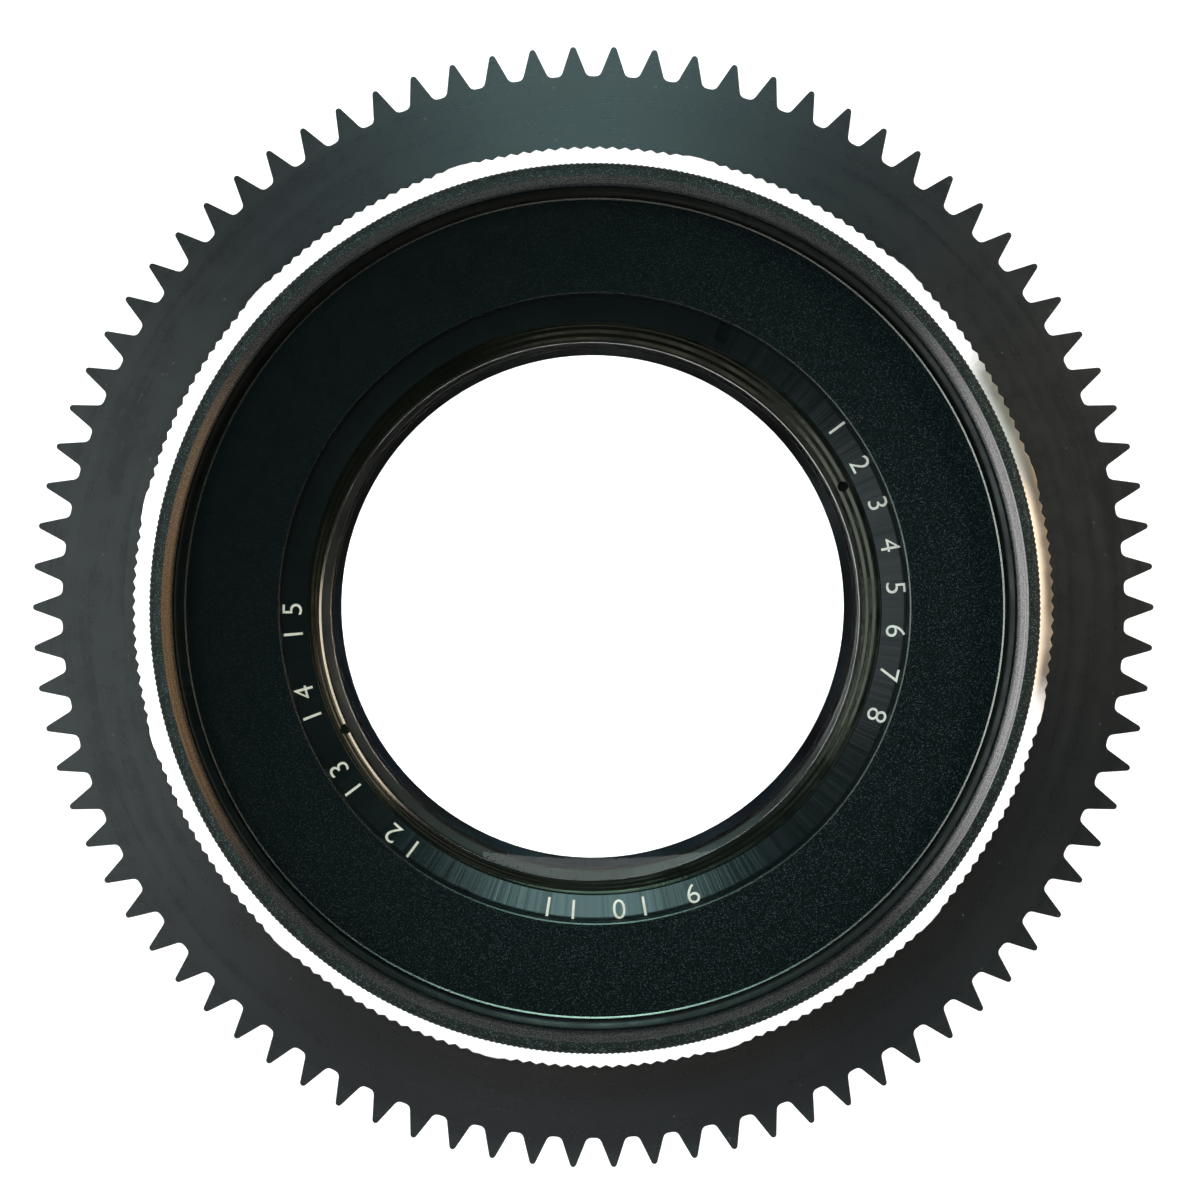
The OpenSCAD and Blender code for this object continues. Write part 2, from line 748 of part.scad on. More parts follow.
module iris_base_plate() color(steel) difference() {
    union() {
        tube(iris_room_r - seat_fit, stop_r, z_base, base_t);
        tube(iris_room_r - seat_fit, iris_room_r - base_rim_w, z_base, z_web - z_base);
    }
    for (i = [1 : blades])
        rotate([0, 0, i * 360 / blades])
        translate([pivot_r, 0, 0])
        bore(pivot_pin_r + run_fit, z_base, base_t, $fn = 32);
    arc_block(optical_r + cut, iris_room_r - base_rim_w - cut, z_drive_ring - iris_gap,
        z_web - z_drive_ring + 2 * iris_gap, lug_deg - slot_margin_deg,
        aperture_turn + 2 * slot_margin_deg);
}

// One blade: a flat crescent on its own layer, with a pivot that reaches down into the base plate
module iris_blade(i) color(steel)
    rotate([0, 0, i * 360 / blades]) {
        z_layer = z_blades + (i - 1) * layer_h;
        far = 3 * blade_out_r;
        translate([0, 0, z_layer])
        linear_extrude(blade_t) {
            intersection() {
                difference() {
                    circle(blade_out_r);
                    circle(blade_in_r);
                }
                polygon([[0, 0], [far, 0], [far * cos(blade_arc / 2), far * sin(blade_arc / 2)],
                    [far * cos(blade_arc), far * sin(blade_arc)]]);
            }
            translate([pivot_r, 0])
            circle(ear_r, $fn = 32);
            translate([pivot_r - ear_len, -ear_r])
            square([ear_len, 2 * ear_r]);
        }
        translate([pivot_r, 0, z_base])
        cylinder(r = pivot_pin_r, h = z_layer + blade_t - z_base, $fn = 32);
    }

module aperture_ring() color(black_paint) difference() {
    numbered_ring(z_aperture, aperture_len, true);
    spoke(drive_screw_r + seat_fit, front_r - cut, ring_r + cut, z_drive_screw, lug_deg);
}

module aperture_drive_screw() color(steel)
    spoke(drive_screw_r, drive_r + drive_screw_sink, ring_r - rib_depth - drive_screw_sink, z_drive_screw,
        lug_deg);

module iris_drive_tube() color(brass_alloy) difference() {
    union() {
        tube(drive_r + drive_wall, drive_r, z_drive_ring - drive_tail,
            z_drive_top - z_drive_ring + drive_tail);
        rotate([0, 0, lug_deg])
        translate([pivot_r - lug_overlap, -lug_w / 2, z_drive_ring])
        cube([drive_r - pivot_r + lug_overlap + lap, lug_w, drive_ring_t - lug_gap]);
    }
    spoke(drive_screw_r + seat_fit, drive_r - cut, drive_r + drive_wall + cut, z_drive_screw, lug_deg);
}

module iris_drive_ring() color(brass_alloy) difference() {
    tube(iris_room_r - base_rim_w - run_fit, pair_clear_r, z_drive_ring, drive_ring_t);
    rotate([0, 0, lug_deg])
    translate([pivot_r - lug_overlap - lug_gap, -lug_w / 2 - seat_fit, z_drive_ring - cut])
    cube([drive_r - pivot_r + cut, lug_w + 2 * seat_fit, drive_ring_t + 2 * cut]);
}

module preset_ring() color(black_paint)
    numbered_ring(z_preset, preset_len, false);

rear_mount();
rear_barrel();
depth_scale_band();
guide_tube();
guide_keys();
mount_screws();
focus_snap_ring();
focus_ring();
distance_scale_band();
focus_gear();
helicoid_sleeve();
helicoid_screws();
head_sleeve();
front_barrel();
ring_retainer();
step_up_ring();
step_up_plate();
name_ring();
optical_barrel();
front_retainer();
front_element();
pair_retainer();
pair_crown();
pair_flint();
rear_cell();
rear_element();
rear_retainer();
iris_base_plate();
aperture_ring();
aperture_drive_screw();
iris_drive_tube();
iris_drive_ring();
preset_ring();
iris_blade(1);  // iris_blade_01
iris_blade(2);  // iris_blade_02
iris_blade(3);  // iris_blade_03
iris_blade(4);  // iris_blade_04
iris_blade(5);  // iris_blade_05
iris_blade(6);  // iris_blade_06
iris_blade(7);  // iris_blade_07
iris_blade(8);  // iris_blade_08
iris_blade(9);  // iris_blade_09
iris_blade(10);  // iris_blade_10
iris_blade(11);  // iris_blade_11
iris_blade(12);  // iris_blade_12
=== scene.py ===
import math

import bmesh
import bpy
from mathutils import Matrix, Vector


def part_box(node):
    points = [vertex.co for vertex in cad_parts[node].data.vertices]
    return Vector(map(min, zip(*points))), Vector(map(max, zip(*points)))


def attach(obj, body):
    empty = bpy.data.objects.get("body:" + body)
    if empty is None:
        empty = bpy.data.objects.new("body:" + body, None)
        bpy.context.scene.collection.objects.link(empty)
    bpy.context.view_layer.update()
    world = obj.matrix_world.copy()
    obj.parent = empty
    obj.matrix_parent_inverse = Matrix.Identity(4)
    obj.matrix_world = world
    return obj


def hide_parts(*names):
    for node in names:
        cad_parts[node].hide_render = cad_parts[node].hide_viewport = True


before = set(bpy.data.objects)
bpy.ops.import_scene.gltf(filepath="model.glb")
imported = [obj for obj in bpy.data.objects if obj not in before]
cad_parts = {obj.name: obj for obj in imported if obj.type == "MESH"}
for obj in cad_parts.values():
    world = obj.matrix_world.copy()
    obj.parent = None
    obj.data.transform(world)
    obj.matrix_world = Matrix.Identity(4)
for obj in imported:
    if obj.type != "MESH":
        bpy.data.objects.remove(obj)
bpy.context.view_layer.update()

# Sizes are in millimetres unless a comment says otherwise, and turn into metres where meshes are made.

MM = 0.001
TAU = 2 * math.pi
INDEX = -math.pi / 2        # angle of the index marks
TRAVEL = 16.0               # how far the head runs out
TURN = 270.0                # degrees that the focus ring turns for it
IRIS_TURN = 60.0            # degrees that the aperture and preset rings turn
PAINT = 0.02                # half the thickness of painted marks


# Materials. Their coordinates are the object's own, in metres, so grain keeps its real size.

class Nodes:
    """A node tree, with short calls for the nodes used here."""

    def __init__(self, tree):
        self.tree = tree
        self.tree.nodes.clear()

    def node(self, kind):
        return self.tree.nodes.new("ShaderNode" + kind)

    def link(self, a, b):
        self.tree.links.new(a, b)

    def feed(self, node, slot, value):
        if isinstance(value, bpy.types.NodeSocket):
            self.link(value, node.inputs[slot])
        else:
            node.inputs[slot].default_value = value

    def math(self, op, a, b):
        n = self.node("Math")
        n.operation = op
        self.feed(n, 0, a)
        self.feed(n, 1, b)
        return n.outputs[0]

    def times(self, a, b):
        return self.math("MULTIPLY", a, b)

    def vector(self, op, a, b=None, scale=None):
        n = self.node("VectorMath")
        n.operation = op
        self.feed(n, 0, a)
        if b is not None:
            self.feed(n, 1, b)
        if scale is not None:
            n.inputs["Scale"].default_value = scale
        return n.outputs["Value"] if op in ("LENGTH", "DOT_PRODUCT") else n.outputs[0]

    def ramp(self, value, low, high, a=0.0, b=1.0):
        """Goes smoothly from a to b as the value goes from low to high."""
        n = self.node("MapRange")
        n.interpolation_type = "SMOOTHSTEP"
        self.feed(n, 0, value)
        for i, x in enumerate((low, high, a, b)):
            n.inputs[i + 1].default_value = x
        return n.outputs[0]

    def mix(self, share, a, b):
        """Colour a where the share is 0, colour b where it is 1."""
        n = self.node("Mix")
        n.data_type = "RGBA"
        self.feed(n, 0, share)
        for slot, value in ((6, a), (7, b)):
            self.feed(n, slot, (*value, 1.0) if isinstance(value, tuple) else value)
        return n.outputs[2]


class Shader(Nodes):
    """A principled material."""

    def __init__(self, name, metallic=0.0):
        self.material = bpy.data.materials.new(name)
        self.material.use_nodes = True
        super().__init__(self.material.node_tree)
        self.out = self.node("OutputMaterial")
        self.bsdf = self.node("BsdfPrincipled")
        self.link(self.bsdf.outputs[0], self.out.inputs[0])
        self.fix("Metallic", metallic)
        self.place = self.node("TexCoord").outputs["Object"]

    def fix(self, socket, value):
        """Sets a value that is the same all over the surface."""
        self.bsdf.inputs[socket].default_value = value

    def colour(self, value):
        self.link(value, self.bsdf.inputs["Base Color"])

    def rough(self, value):
        self.link(value, self.bsdf.inputs["Roughness"])

    def noise(self, scale, detail=2.0, where=None, rough=0.5):
        n = self.node("TexNoise")
        self.link(self.place if where is None else where, n.inputs["Vector"])
        n.inputs["Scale"].default_value = scale
        n.inputs["Detail"].default_value = detail
        n.inputs["Roughness"].default_value = rough
        return n.outputs["Fac"]

    def cells(self, scale, channel):
        """The distance to the middle of the nearest cell, and that cell's own random number."""
        n = self.node("TexVoronoi")
        self.link(self.place, n.inputs["Vector"])
        n.inputs["Scale"].default_value = scale
        pick = self.node("SeparateColor")
        self.link(n.outputs["Color"], pick.inputs[0])
        return n.outputs["Distance"], pick.outputs[channel]

    def outward(self):
        """The place without its height, which points away from the axis."""
        return self.vector("MULTIPLY", self.place, (1.0, 1.0, 0.0))

    def turned(self, pitch, swing=2.0):
        """Coordinates that run along the rings a lathe leaves, a given distance apart."""
        flat = self.outward()
        split = self.node("SeparateXYZ")
        self.link(self.place, split.inputs[0])
        reach = self.math("ADD", self.vector("LENGTH", flat), split.outputs[2])
        turn = self.vector("SCALE", self.vector("NORMALIZE", flat), scale=swing)
        rings = self.node("CombineXYZ")
        self.link(self.times(reach, 1.0 / pitch), rings.inputs[2])
        return self.vector("ADD", turn, rings.outputs[0])

    def worn_edges(self, width):
        """Near 1 on edges, 0 on flat faces."""
        soft = self.node("Bevel")
        soft.samples = 4
        soft.inputs["Radius"].default_value = width
        face = self.node("NewGeometry")
        alike = self.vector("DOT_PRODUCT", soft.outputs[0], face.outputs["Normal"])
        return self.ramp(alike, 0.97, 0.80)

    def brushed(self, share):
        """Stretches highlights across the rings that a lathe leaves."""
        self.fix("Anisotropic", share)
        self.fix("Anisotropic Rotation", 0.25)
        along = self.node("Tangent")
        along.direction_type = "RADIAL"
        along.axis = "Z"
        self.link(along.outputs[0], self.bsdf.inputs["Tangent"])

    def bump(self, height, depth, after=None):
        """Raises the surface by the height times a depth in metres, on top of another bump if given."""
        n = self.node("Bump")
        n.inputs["Distance"].default_value = depth
        n.inputs["Strength"].default_value = 1.0
        self.link(height, n.inputs["Height"])
        if after is not None:
            self.link(after, n.inputs["Normal"])
        self.link(n.outputs[0], self.bsdf.inputs["Normal"])
        return n.outputs[0]


BARE_METAL = (0.34, 0.33, 0.31)
EDGE_WEAR = 0.00012                 # width of worn edges, in metres
# colour of the painted glints on anodised faces
PAINTED_GLINT = (0.2, 0.28, 0.29)
PAINTED_LIGHT_SIDE = (0.8, -0.6, 0.0)      # the lit side, towards which painted glints and lighter grit are put
LINT = (0.16, 0.16, 0.15)
SATIN_DARK = (0.32, 0.32, 0.315)
SATIN_LIGHT = (0.385, 0.385, 0.378)


def enamel(name, dark, light, gloss, wear, gleam=0.5, tint=(1.0, 1.0, 1.0)):
    """Baked black enamel: a faint orange peel, slight clouding, and bare metal on worn edges."""
    s = Shader(name)
    s.fix("Specular IOR Level", gleam)
    s.fix("Specular Tint", (*tint, 1.0))
    body = s.mix(s.ramp(s.noise(140, 4.0), 0.35, 0.7), dark, light)
    if wear:
        scuff = s.times(s.worn_edges(EDGE_WEAR), s.ramp(s.noise(900, 3.0), 0.45, 0.75, 0.0, wear))
        body = s.mix(scuff, body, BARE_METAL)
        s.link(scuff, s.bsdf.inputs["Metallic"])
    s.colour(body)
    s.rough(s.ramp(s.noise(420, 3.0), 0.3, 0.75, gloss, gloss + 0.14))
    s.bump(s.noise(2600, 2.0), 0.000006)
    return s.material


def spun_enamel(name, dark, light):
    """Glossy black enamel on a spun ring, with fine streaks that run outwards from the axis."""
    s = Shader(name)
    streak = s.noise(46.0, 3.0, s.vector("NORMALIZE", s.outward()), 0.7)
    s.colour(s.mix(s.ramp(s.noise(180, 3.0), 0.35, 0.7), dark, light))
    s.rough(s.ramp(streak, 0.3, 0.72, 0.045, 0.09))
    s.bump(streak, 0.0000012)
    return s.material


def anodised(name, dark, light, gleam, glint_paint, dull=0.5, far=0.06):
    """Blasted and anodised aluminium: dark grit, and painted glints, which are light points in the colour,
    with more of them and a lighter grit on the lit side. far is the dim side's share of them.
    """
    s = Shader(name)
    s.fix("Specular IOR Level", gleam)
    grit = s.noise(9000, 2.0, rough=0.65)
    distance, chance = s.cells(19000, 0)
    # painted light: a mask that is high on the side towards the lamps and low on the dim side
    side = s.ramp(s.vector("DOT_PRODUCT", s.place, PAINTED_LIGHT_SIDE), -0.026, 0.02, far, 1.0)
    glint = s.times(s.ramp(distance, 0.6, 0.25), s.ramp(chance, 0.72, 1.0))
    # the grit is painted lighter on the lit side
    body = s.mix(s.times(s.ramp(grit, 0.38, 0.72), s.ramp(side, 0.0, 1.0, 0.15, 1.0)), dark, light)
    # painted glints, mostly on the lit side
    s.colour(s.mix(s.times(s.times(glint, side), glint_paint), body, PAINTED_GLINT))
    s.rough(s.ramp(s.noise(900, 2.0), 0.3, 0.7, dull, dull + 0.14))
    s.bump(grit, 0.00001)
    return s.material


def acetal(name):
    """Black acetal cut on a lathe: fine rings, faint milky smudges and a little dust."""
    s = Shader(name)
    rings = s.noise(1.0, 3.0, s.turned(0.00026), 0.7)
    broad = s.noise(1.0, 2.0, s.turned(0.0016, 1.2))
    cloud = s.noise(75, 4.0)
    distance, chance = s.cells(1500, 1)
    fleck = s.times(s.ramp(distance, 0.16, 0.06), s.ramp(chance, 0.88, 0.97))
    tone = s.mix(s.ramp(cloud, 0.36, 0.72), (0.0084, 0.0076, 0.0068), (0.0116, 0.0107, 0.0097))
    tone = s.mix(s.ramp(broad, 0.35, 0.75, 0.0, 0.4), tone, (0.0146, 0.0137, 0.0126))
    s.colour(s.mix(s.times(fleck, 0.35), tone, LINT))
    swirl = s.noise(1.0, 2.0, s.turned(0.0007))
    smudge = s.noise(560, 4.0, rough=0.7)
    s.rough(s.ramp(s.math("ADD", s.times(swirl, 0.5), s.times(smudge, 0.5)), 0.3, 0.7, 0.24, 0.34))
    s.brushed(0.75)
    s.bump(rings, 0.0000045)
    return s.material


def metal(name, dark, light, gloss, pitch, depth):
    """Turned metal: fine rings and a slow change of tone, duller where it is handled."""
    s = Shader(name, metallic=1.0)
    s.colour(s.mix(s.ramp(s.noise(110, 4.0), 0.3, 0.75), dark, light))
    s.rough(s.ramp(s.noise(380, 3.0), 0.3, 0.75, gloss, gloss + 0.16))
    s.bump(s.noise(1.0, 3.0, s.turned(pitch), 0.7), depth)
    return s.material


def rounded_metal(name, dark, light, gloss, middle, bend):
    """Satin metal with a bevelled face that has a mirror polish and is crowned about a middle radius with a
    curvature of bend. Faces that point up get a far lighter colour than the sides: partly the polish, partly
    painted light.
    """
    s = Shader(name, metallic=1.0)
    facing = s.node("SeparateXYZ")
    s.link(s.node("NewGeometry").outputs["True Normal"], facing.inputs[0])
    # faces that point up: the polished part, with less roughness, and where the lighter colour is painted
    # light
    bevel_and_top_light = s.ramp(facing.outputs[2], 0.35, 0.6)
    satin = s.mix(s.ramp(s.noise(1.0, 3.0, s.turned(0.0009, 1.0)), 0.3, 0.7), SATIN_DARK, SATIN_LIGHT)
    lit_polish = s.mix(s.ramp(s.noise(110, 4.0), 0.3, 0.75), dark, light)
    # painted light: faces that point up take the far lighter tone, and the sides take the darker satin tone
    s.colour(s.mix(bevel_and_top_light, satin, lit_polish))
    handled = s.ramp(s.noise(380, 3.0), 0.3, 0.75, gloss, gloss + 0.08)
    s.rough(s.math("ADD", handled, s.ramp(bevel_and_top_light, 0.0, 1.0, 0.14, 0.0)))
    off = s.math("SUBTRACT", s.vector("LENGTH", s.outward()), middle)
    crown = s.times(s.times(off, off), -bend / 2)
    fine = s.bump(s.noise(1.0, 3.0, s.turned(0.00018), 0.7), 0.0000015)
    s.bump(crown, 1.0, fine)
    return s.material


def worn_lip(name, dark, light, gloss, depth=0.000004):
    """Edge of an anodised ring: dark metal with fine turned lines and pits."""
    s = Shader(name, metallic=1.0)
    lines = s.noise(1.0, 2.0, s.turned(0.00016, 2.0), 0.6)
    pits = s.noise(13000, 2.0, rough=0.7)
    wear = s.math("ADD", s.times(lines, 0.35), s.times(pits, 0.65))
    s.colour(s.mix(s.ramp(wear, 0.4, 0.6), dark, light))
    s.rough(s.ramp(pits, 0.3, 0.7, gloss, gloss + 0.1))
    s.bump(pits, depth)
    return s.material


def paint(name, colour, worn):
    """Filled engraving: flat paint, a little uneven and rubbed."""
    s = Shader(name)
    s.colour(s.mix(s.ramp(s.noise(2400, 3.0), 0.35, 0.7), colour, worn))
    s.rough(s.ramp(s.noise(900, 2.0), 0.3, 0.7, 0.5, 0.68))
    s.bump(s.noise(5200, 2.0), 0.000008)
    return s.material


def glass(name, index, film):
    """Optical glass of a refractive index, with a coating (film, in nanometres) and a trace of dust."""
    s = Shader(name)
    s.fix("Transmission Weight", 1.0)
    s.fix("IOR", index)
    s.fix("Thin Film Thickness", film)
    s.fix("Thin Film IOR", 1.38)
    s.colour(s.mix(s.ramp(s.noise(160, 3.0), 0.3, 0.7), (0.985, 0.99, 0.99), (1.0, 1.0, 1.0)))
    s.rough(s.ramp(s.noise(3200, 2.0), 0.62, 0.82, 0.0, 0.02))
    return s.material


ENAMEL = enamel("black_enamel", (0.0075, 0.0092, 0.0095), (0.0125, 0.0145, 0.0145), 0.3, 0.9)
RING_ENAMEL = spun_enamel("front_ring_enamel", (0.0030, 0.0055, 0.0056), (0.0046, 0.0076, 0.0076))
BAFFLE = enamel("baffle_black", (0.0028, 0.0030, 0.0029), (0.0048, 0.005, 0.0047), 0.5, 0.0, 0.2)
BEAD = enamel("bead_black", (0.006, 0.006, 0.0055), (0.010, 0.0095, 0.0085), 0.06, 0.0)
CONE = enamel("retainer_enamel", (0.0028, 0.0038, 0.0026), (0.005, 0.006, 0.004),
              0.1, 0.0, 0.14, (1.0, 1.0, 0.8))
CELL = enamel("cell_black", (0.011, 0.0105, 0.0095), (0.017, 0.016, 0.0145), 0.34, 0.0, 0.4)
GROOVE = enamel("groove_anodised", (0.0075, 0.0085, 0.0065), (0.0125, 0.0135, 0.010), 0.22, 0.0, 0.12)
ANODISED = anodised("black_anodised", (0.0011, 0.0027, 0.0031), (0.0046, 0.0090, 0.0095), 0.03, 0.3)
RIM = anodised("rim_anodised", (0.0014, 0.0036, 0.0028), (0.0074, 0.0136, 0.0110), 0.14, 0.6, 0.36, 0.75)
LIP = worn_lip("lip_anodised", (0.16, 0.16, 0.16), (0.29, 0.29, 0.285), 0.16)
EDGE = worn_lip("edge_anodised", (0.045, 0.046, 0.042), (0.108, 0.104, 0.092), 0.17)
BURR = worn_lip("retainer_edge", (0.042, 0.040, 0.035), (0.076, 0.072, 0.063), 0.1, 0.0000012)
MOUTH = worn_lip("mouth_anodised", (0.013, 0.015, 0.014), (0.046, 0.049, 0.046), 0.2)
ACETAL = acetal("black_acetal")
ALLOY = metal("satin_aluminium", SATIN_DARK, SATIN_LIGHT, 0.24, 0.00018, 0.000003)
BEVELLED = rounded_metal("bevel_aluminium", (0.74, 0.74, 0.72), (0.88, 0.88, 0.86), 0.12, 0.0283, 150.0)
BRASS = metal("brass", (0.46, 0.33, 0.13), (0.66, 0.5, 0.24), 0.28, 0.0002, 0.000003)
STEEL = metal("steel", (0.36, 0.36, 0.37), (0.5, 0.5, 0.51), 0.26, 0.00015, 0.000003)
BLUED = metal("blued_steel", (0.028, 0.029, 0.031), (0.048, 0.05, 0.053), 0.36, 0.00012, 0.000002)
MARK = paint("mark_white", (0.86, 0.83, 0.74), (0.70, 0.67, 0.58))
MARK_DARK = paint("mark_black", (0.012, 0.012, 0.012), (0.03, 0.03, 0.028))
MARK_RED = paint("mark_red", (0.42, 0.035, 0.02), (0.32, 0.04, 0.025))
GLASS_FRONT = glass("glass_front_coated", 1.62, 118)
GLASS_CROWN = glass("glass_crown_coated", 1.57, 105)
GLASS_FLINT = glass("glass_flint_coated", 1.70, 112)
GLASS_REAR = glass("glass_rear_coated", 1.62, 118)


# Mesh helpers.

def extent(node):
    """The lowest height, the highest height and the radius of a turned node."""
    low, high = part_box(node)
    return low.z / MM, high.z / MM, high.x / MM


def shade(mesh, sharp):
    """Smooth faces, with edges sharper than the angle kept crisp."""
    b = bmesh.new()
    b.from_mesh(mesh)
    bmesh.ops.recalc_face_normals(b, faces=b.faces)
    for f in b.faces:
        f.smooth = True
    for e in b.edges:
        e.smooth = len(e.link_faces) == 2 and e.calc_face_angle(0.0) < math.radians(sharp)
    b.to_mesh(mesh)
    b.free()


def piece(name, verts, faces, body, mats, which=None, sharp=35):
    mesh = bpy.data.meshes.new(name)
    mesh.from_pydata([Vector(v) * MM for v in verts], [], faces)
    for m in mats:
        mesh.materials.append(m)
    if which:
        mesh.polygons.foreach_set("material_index", which)
    mesh.update()
    shade(mesh, sharp)
    obj = bpy.data.objects.new(name, mesh)
    bpy.context.scene.collection.objects.link(obj)
    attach(obj, body)
    return obj


def lathe(name, profile, body, mats, steps=256, shift=None, closed=True, sharp=35):
    """Turns a profile about the axis.

    Its points are (radius, height), with the material of the face that starts there unless that is mats[0].
    shift(angle, i) moves point i outwards.
    """
    verts, index, faces, which = [], {}, [], []
    for i, point in enumerate(profile):
        for k in range(steps):
            if point[0] < 1e-6 and k:
                index[i, k] = index[i, 0]
                continue
            a = TAU * k / steps
            r = point[0] + (shift(a, i) if shift else 0.0)
            index[i, k] = len(verts)
            verts.append((r * math.cos(a), r * math.sin(a), point[1]))
    for i in range(len(profile) if closed else len(profile) - 1):
        j = (i + 1) % len(profile)
        mat = mats.index(profile[i][2]) if len(profile[i]) > 2 else 0
        for k in range(steps):
            n = (k + 1) % steps
            loop = [index[i, k], index[i, n], index[j, n], index[j, k]]
            faces.append([v for t, v in enumerate(loop) if v not in loop[:t]])
            which.append(mat)
    return piece(name, verts, faces, body, mats, which, sharp)


def run(a, b, count, *mat):
    """Profile points from a to b along a straight line, without b."""
    return [(a[0] + (b[0] - a[0]) * i / count, a[1] + (b[1] - a[1]) * i / count, *mat) for i in range(count)]


def saw(x):
    """A triangle wave from 0 to 1."""
    x = x % 1.0
    return 2 * x if x < 0.5 else 2 - 2 * x


def spot(radius, degrees, height):
    """A place about the axis, as a point in metres."""
    a = math.radians(degrees)
    return Vector((radius * math.cos(a), radius * math.sin(a), height)) * MM


def carve(obj, cutters, sharp):
    """Cuts the given scratch objects out of a piece, and removes them."""
    for cutter in cutters:
        cut = obj.modifiers.new("cut", "BOOLEAN")
        cut.object = cutter
        cut.operation = "DIFFERENCE"
        cut.solver = "EXACT"
        bpy.context.view_layer.update()
        mesh = bpy.data.meshes.new_from_object(obj.evaluated_get(bpy.context.evaluated_depsgraph_get()))
        obj.modifiers.clear()
        obj.data = mesh
        bpy.data.objects.remove(cutter)
    shade(obj.data, sharp)


def glyphs(text, size, weight):
    """Thin solids of a text's characters: (vertices, faces, width) for each. weight thickens the strokes."""
    made = []
    for ch in text:
        curve = bpy.data.curves.new("glyph", "FONT")
        curve.body = ch
        curve.size = size
        curve.resolution_u = 4
        curve.extrude = PAINT
        curve.offset = weight * size
        curve.align_x = "CENTER"
        holder = bpy.data.objects.new("glyph", curve)
        mesh = bpy.data.meshes.new_from_object(holder)
        verts = [tuple(v.co) for v in mesh.vertices]
        faces = [tuple(p.vertices) for p in mesh.polygons]
        across = [v[0] for v in verts]
        made.append((verts, faces, max(across) - min(across)))
        bpy.data.objects.remove(holder)
        bpy.data.curves.remove(curve)
        bpy.data.meshes.remove(mesh)
    return made


class Marks:
    """Gathers painted marks that lie on one turned face, and makes them one piece."""

    CUTS = 6                # lengths that a bar is cut into, so that it bends
    WEIGHT = 0.012          # of text, as a share of its size
    NARROWEST = 0.18        # the least room that a character gets, as a share of the text's size

    def __init__(self):
        self.verts, self.faces = [], []

    def add(self, verts, faces, bend):
        start = len(self.verts)
        self.verts += [bend(*v) for v in verts]
        self.faces += [[start + i for i in f] for f in faces]

    def bar(self, w, h, bend):
        """A small bar, w wide and h high."""
        last = 4 * self.CUTS
        corners = [(-w / 2 + w * i / self.CUTS, s * h / 2, z)
                   for i in range(self.CUTS + 1) for s in (-1, 1) for z in (-PAINT, PAINT)]
        sides = []
        for a in range(0, last, 4):
            sides += [(a, a + 4, a + 5, a + 1), (a + 2, a + 3, a + 7, a + 6),
                      (a, a + 2, a + 6, a + 4), (a + 1, a + 5, a + 7, a + 3)]
        sides += [(0, 1, 3, 2), (last, last + 2, last + 3, last + 1)]
        self.add(corners, sides, bend)

    def text(self, text, size, gap, bend):
        """A text's characters side by side, with a gap between them."""
        cast = glyphs(text, size, self.WEIGHT)
        widths = [max(g[2], self.NARROWEST * size) + gap for g in cast]
        x = -sum(widths) / 2
        for (verts, faces, _), w in zip(cast, widths):
            mid = x + w / 2
            self.add([(v[0] + mid, v[1], v[2]) for v in verts], faces, bend)
            x += w

    def make(self, name, body, mat):
        return piece(name, self.verts, self.faces, body, [mat], sharp=30)


def on_drum(radius, angle, height):
    """Bends flat marks round a cylinder: x along the turn, y up the axis."""
    def bend(x, y, z):
        a = angle + x / radius
        return ((radius + z) * math.cos(a), (radius + z) * math.sin(a), height + y)
    return bend


def on_face(radius, angle, height):
    """Lays flat marks on a face across the axis: x clockwise, y outwards."""
    def bend(x, y, z):
        a = angle - x / radius
        return ((radius + y) * math.cos(a), (radius + y) * math.sin(a), height + z)
    return bend


# The step-up ring: a knurled rim with a smooth lead-in, filter thread and undercut, round a flat plate.

RIM_LOW, RIM_Z, RIM_R = extent("step_up_ring")
SPIGOT_LOW, PLATE_Z, SEAT_R = extent("step_up_plate")
FOOT_R = 26.75
UNDERCUT_R, UNDERCUT_Z = 26.2, PLATE_Z + 0.28
KNURLS = 480
KNURL_DEPTH = 0.06
KNURL_HEIGHTS = (RIM_LOW + 0.25, RIM_Z - 2.8, RIM_Z - 0.28)
CROWN = ((26.93, 0.17), (26.84, 0.09), (26.56, 0.03))       # radius, and depth under the rim's top
CHAMFER_R = 26.26
CHAMFER_DEEP = 0.64
CHAMFER_BREAK = 0.02
FILTER_R = 25.6
FILTER_TOP, FILTER_LOW = RIM_Z - 0.68, PLATE_Z + 0.32
FILTER_PITCH = 0.75
FILTER_DEPTH = 0.36
FILTER_ROWS = 24
FILTER_END = PLATE_Z + 0.3
FADE = 4                    # rows over which a thread starts and ends

profile = [(UNDERCUT_R, RIM_LOW, RIM), (FOOT_R, RIM_LOW, RIM)]
knurl_from = len(profile)
profile += [(RIM_R, z, RIM) for z in KNURL_HEIGHTS]
knurl_to = len(profile)
profile += [(r, RIM_Z - depth, RIM) for r, depth in CROWN]
profile += [(CHAMFER_R, RIM_Z, LIP)]
profile += run((CHAMFER_R - CHAMFER_BREAK, RIM_Z - CHAMFER_BREAK),
               (FILTER_R + CHAMFER_BREAK, RIM_Z - CHAMFER_DEEP), 6, LIP)
thread_from = len(profile)
profile += run((FILTER_R, FILTER_TOP), (FILTER_R, FILTER_LOW), FILTER_ROWS, ANODISED)
thread_to = len(profile)
profile += [(FILTER_R, FILTER_END), (UNDERCUT_R, UNDERCUT_Z)]


def rim_shift(a, i):
    if knurl_from <= i < knurl_to:
        return -KNURL_DEPTH * saw(a * KNURLS / TAU)
    if thread_from <= i < thread_to:
        ends = min(1.0, (i - thread_from) / FADE, (thread_to - 1 - i) / FADE)
        return FILTER_DEPTH * saw(profile[i][1] / FILTER_PITCH - a / TAU) * ends
    return 0.0


step_ring = lathe("step_ring", profile, "head", [BAFFLE, RIM, LIP, ANODISED],
                  steps=960, shift=rim_shift, sharp=32)
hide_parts("step_up_ring")

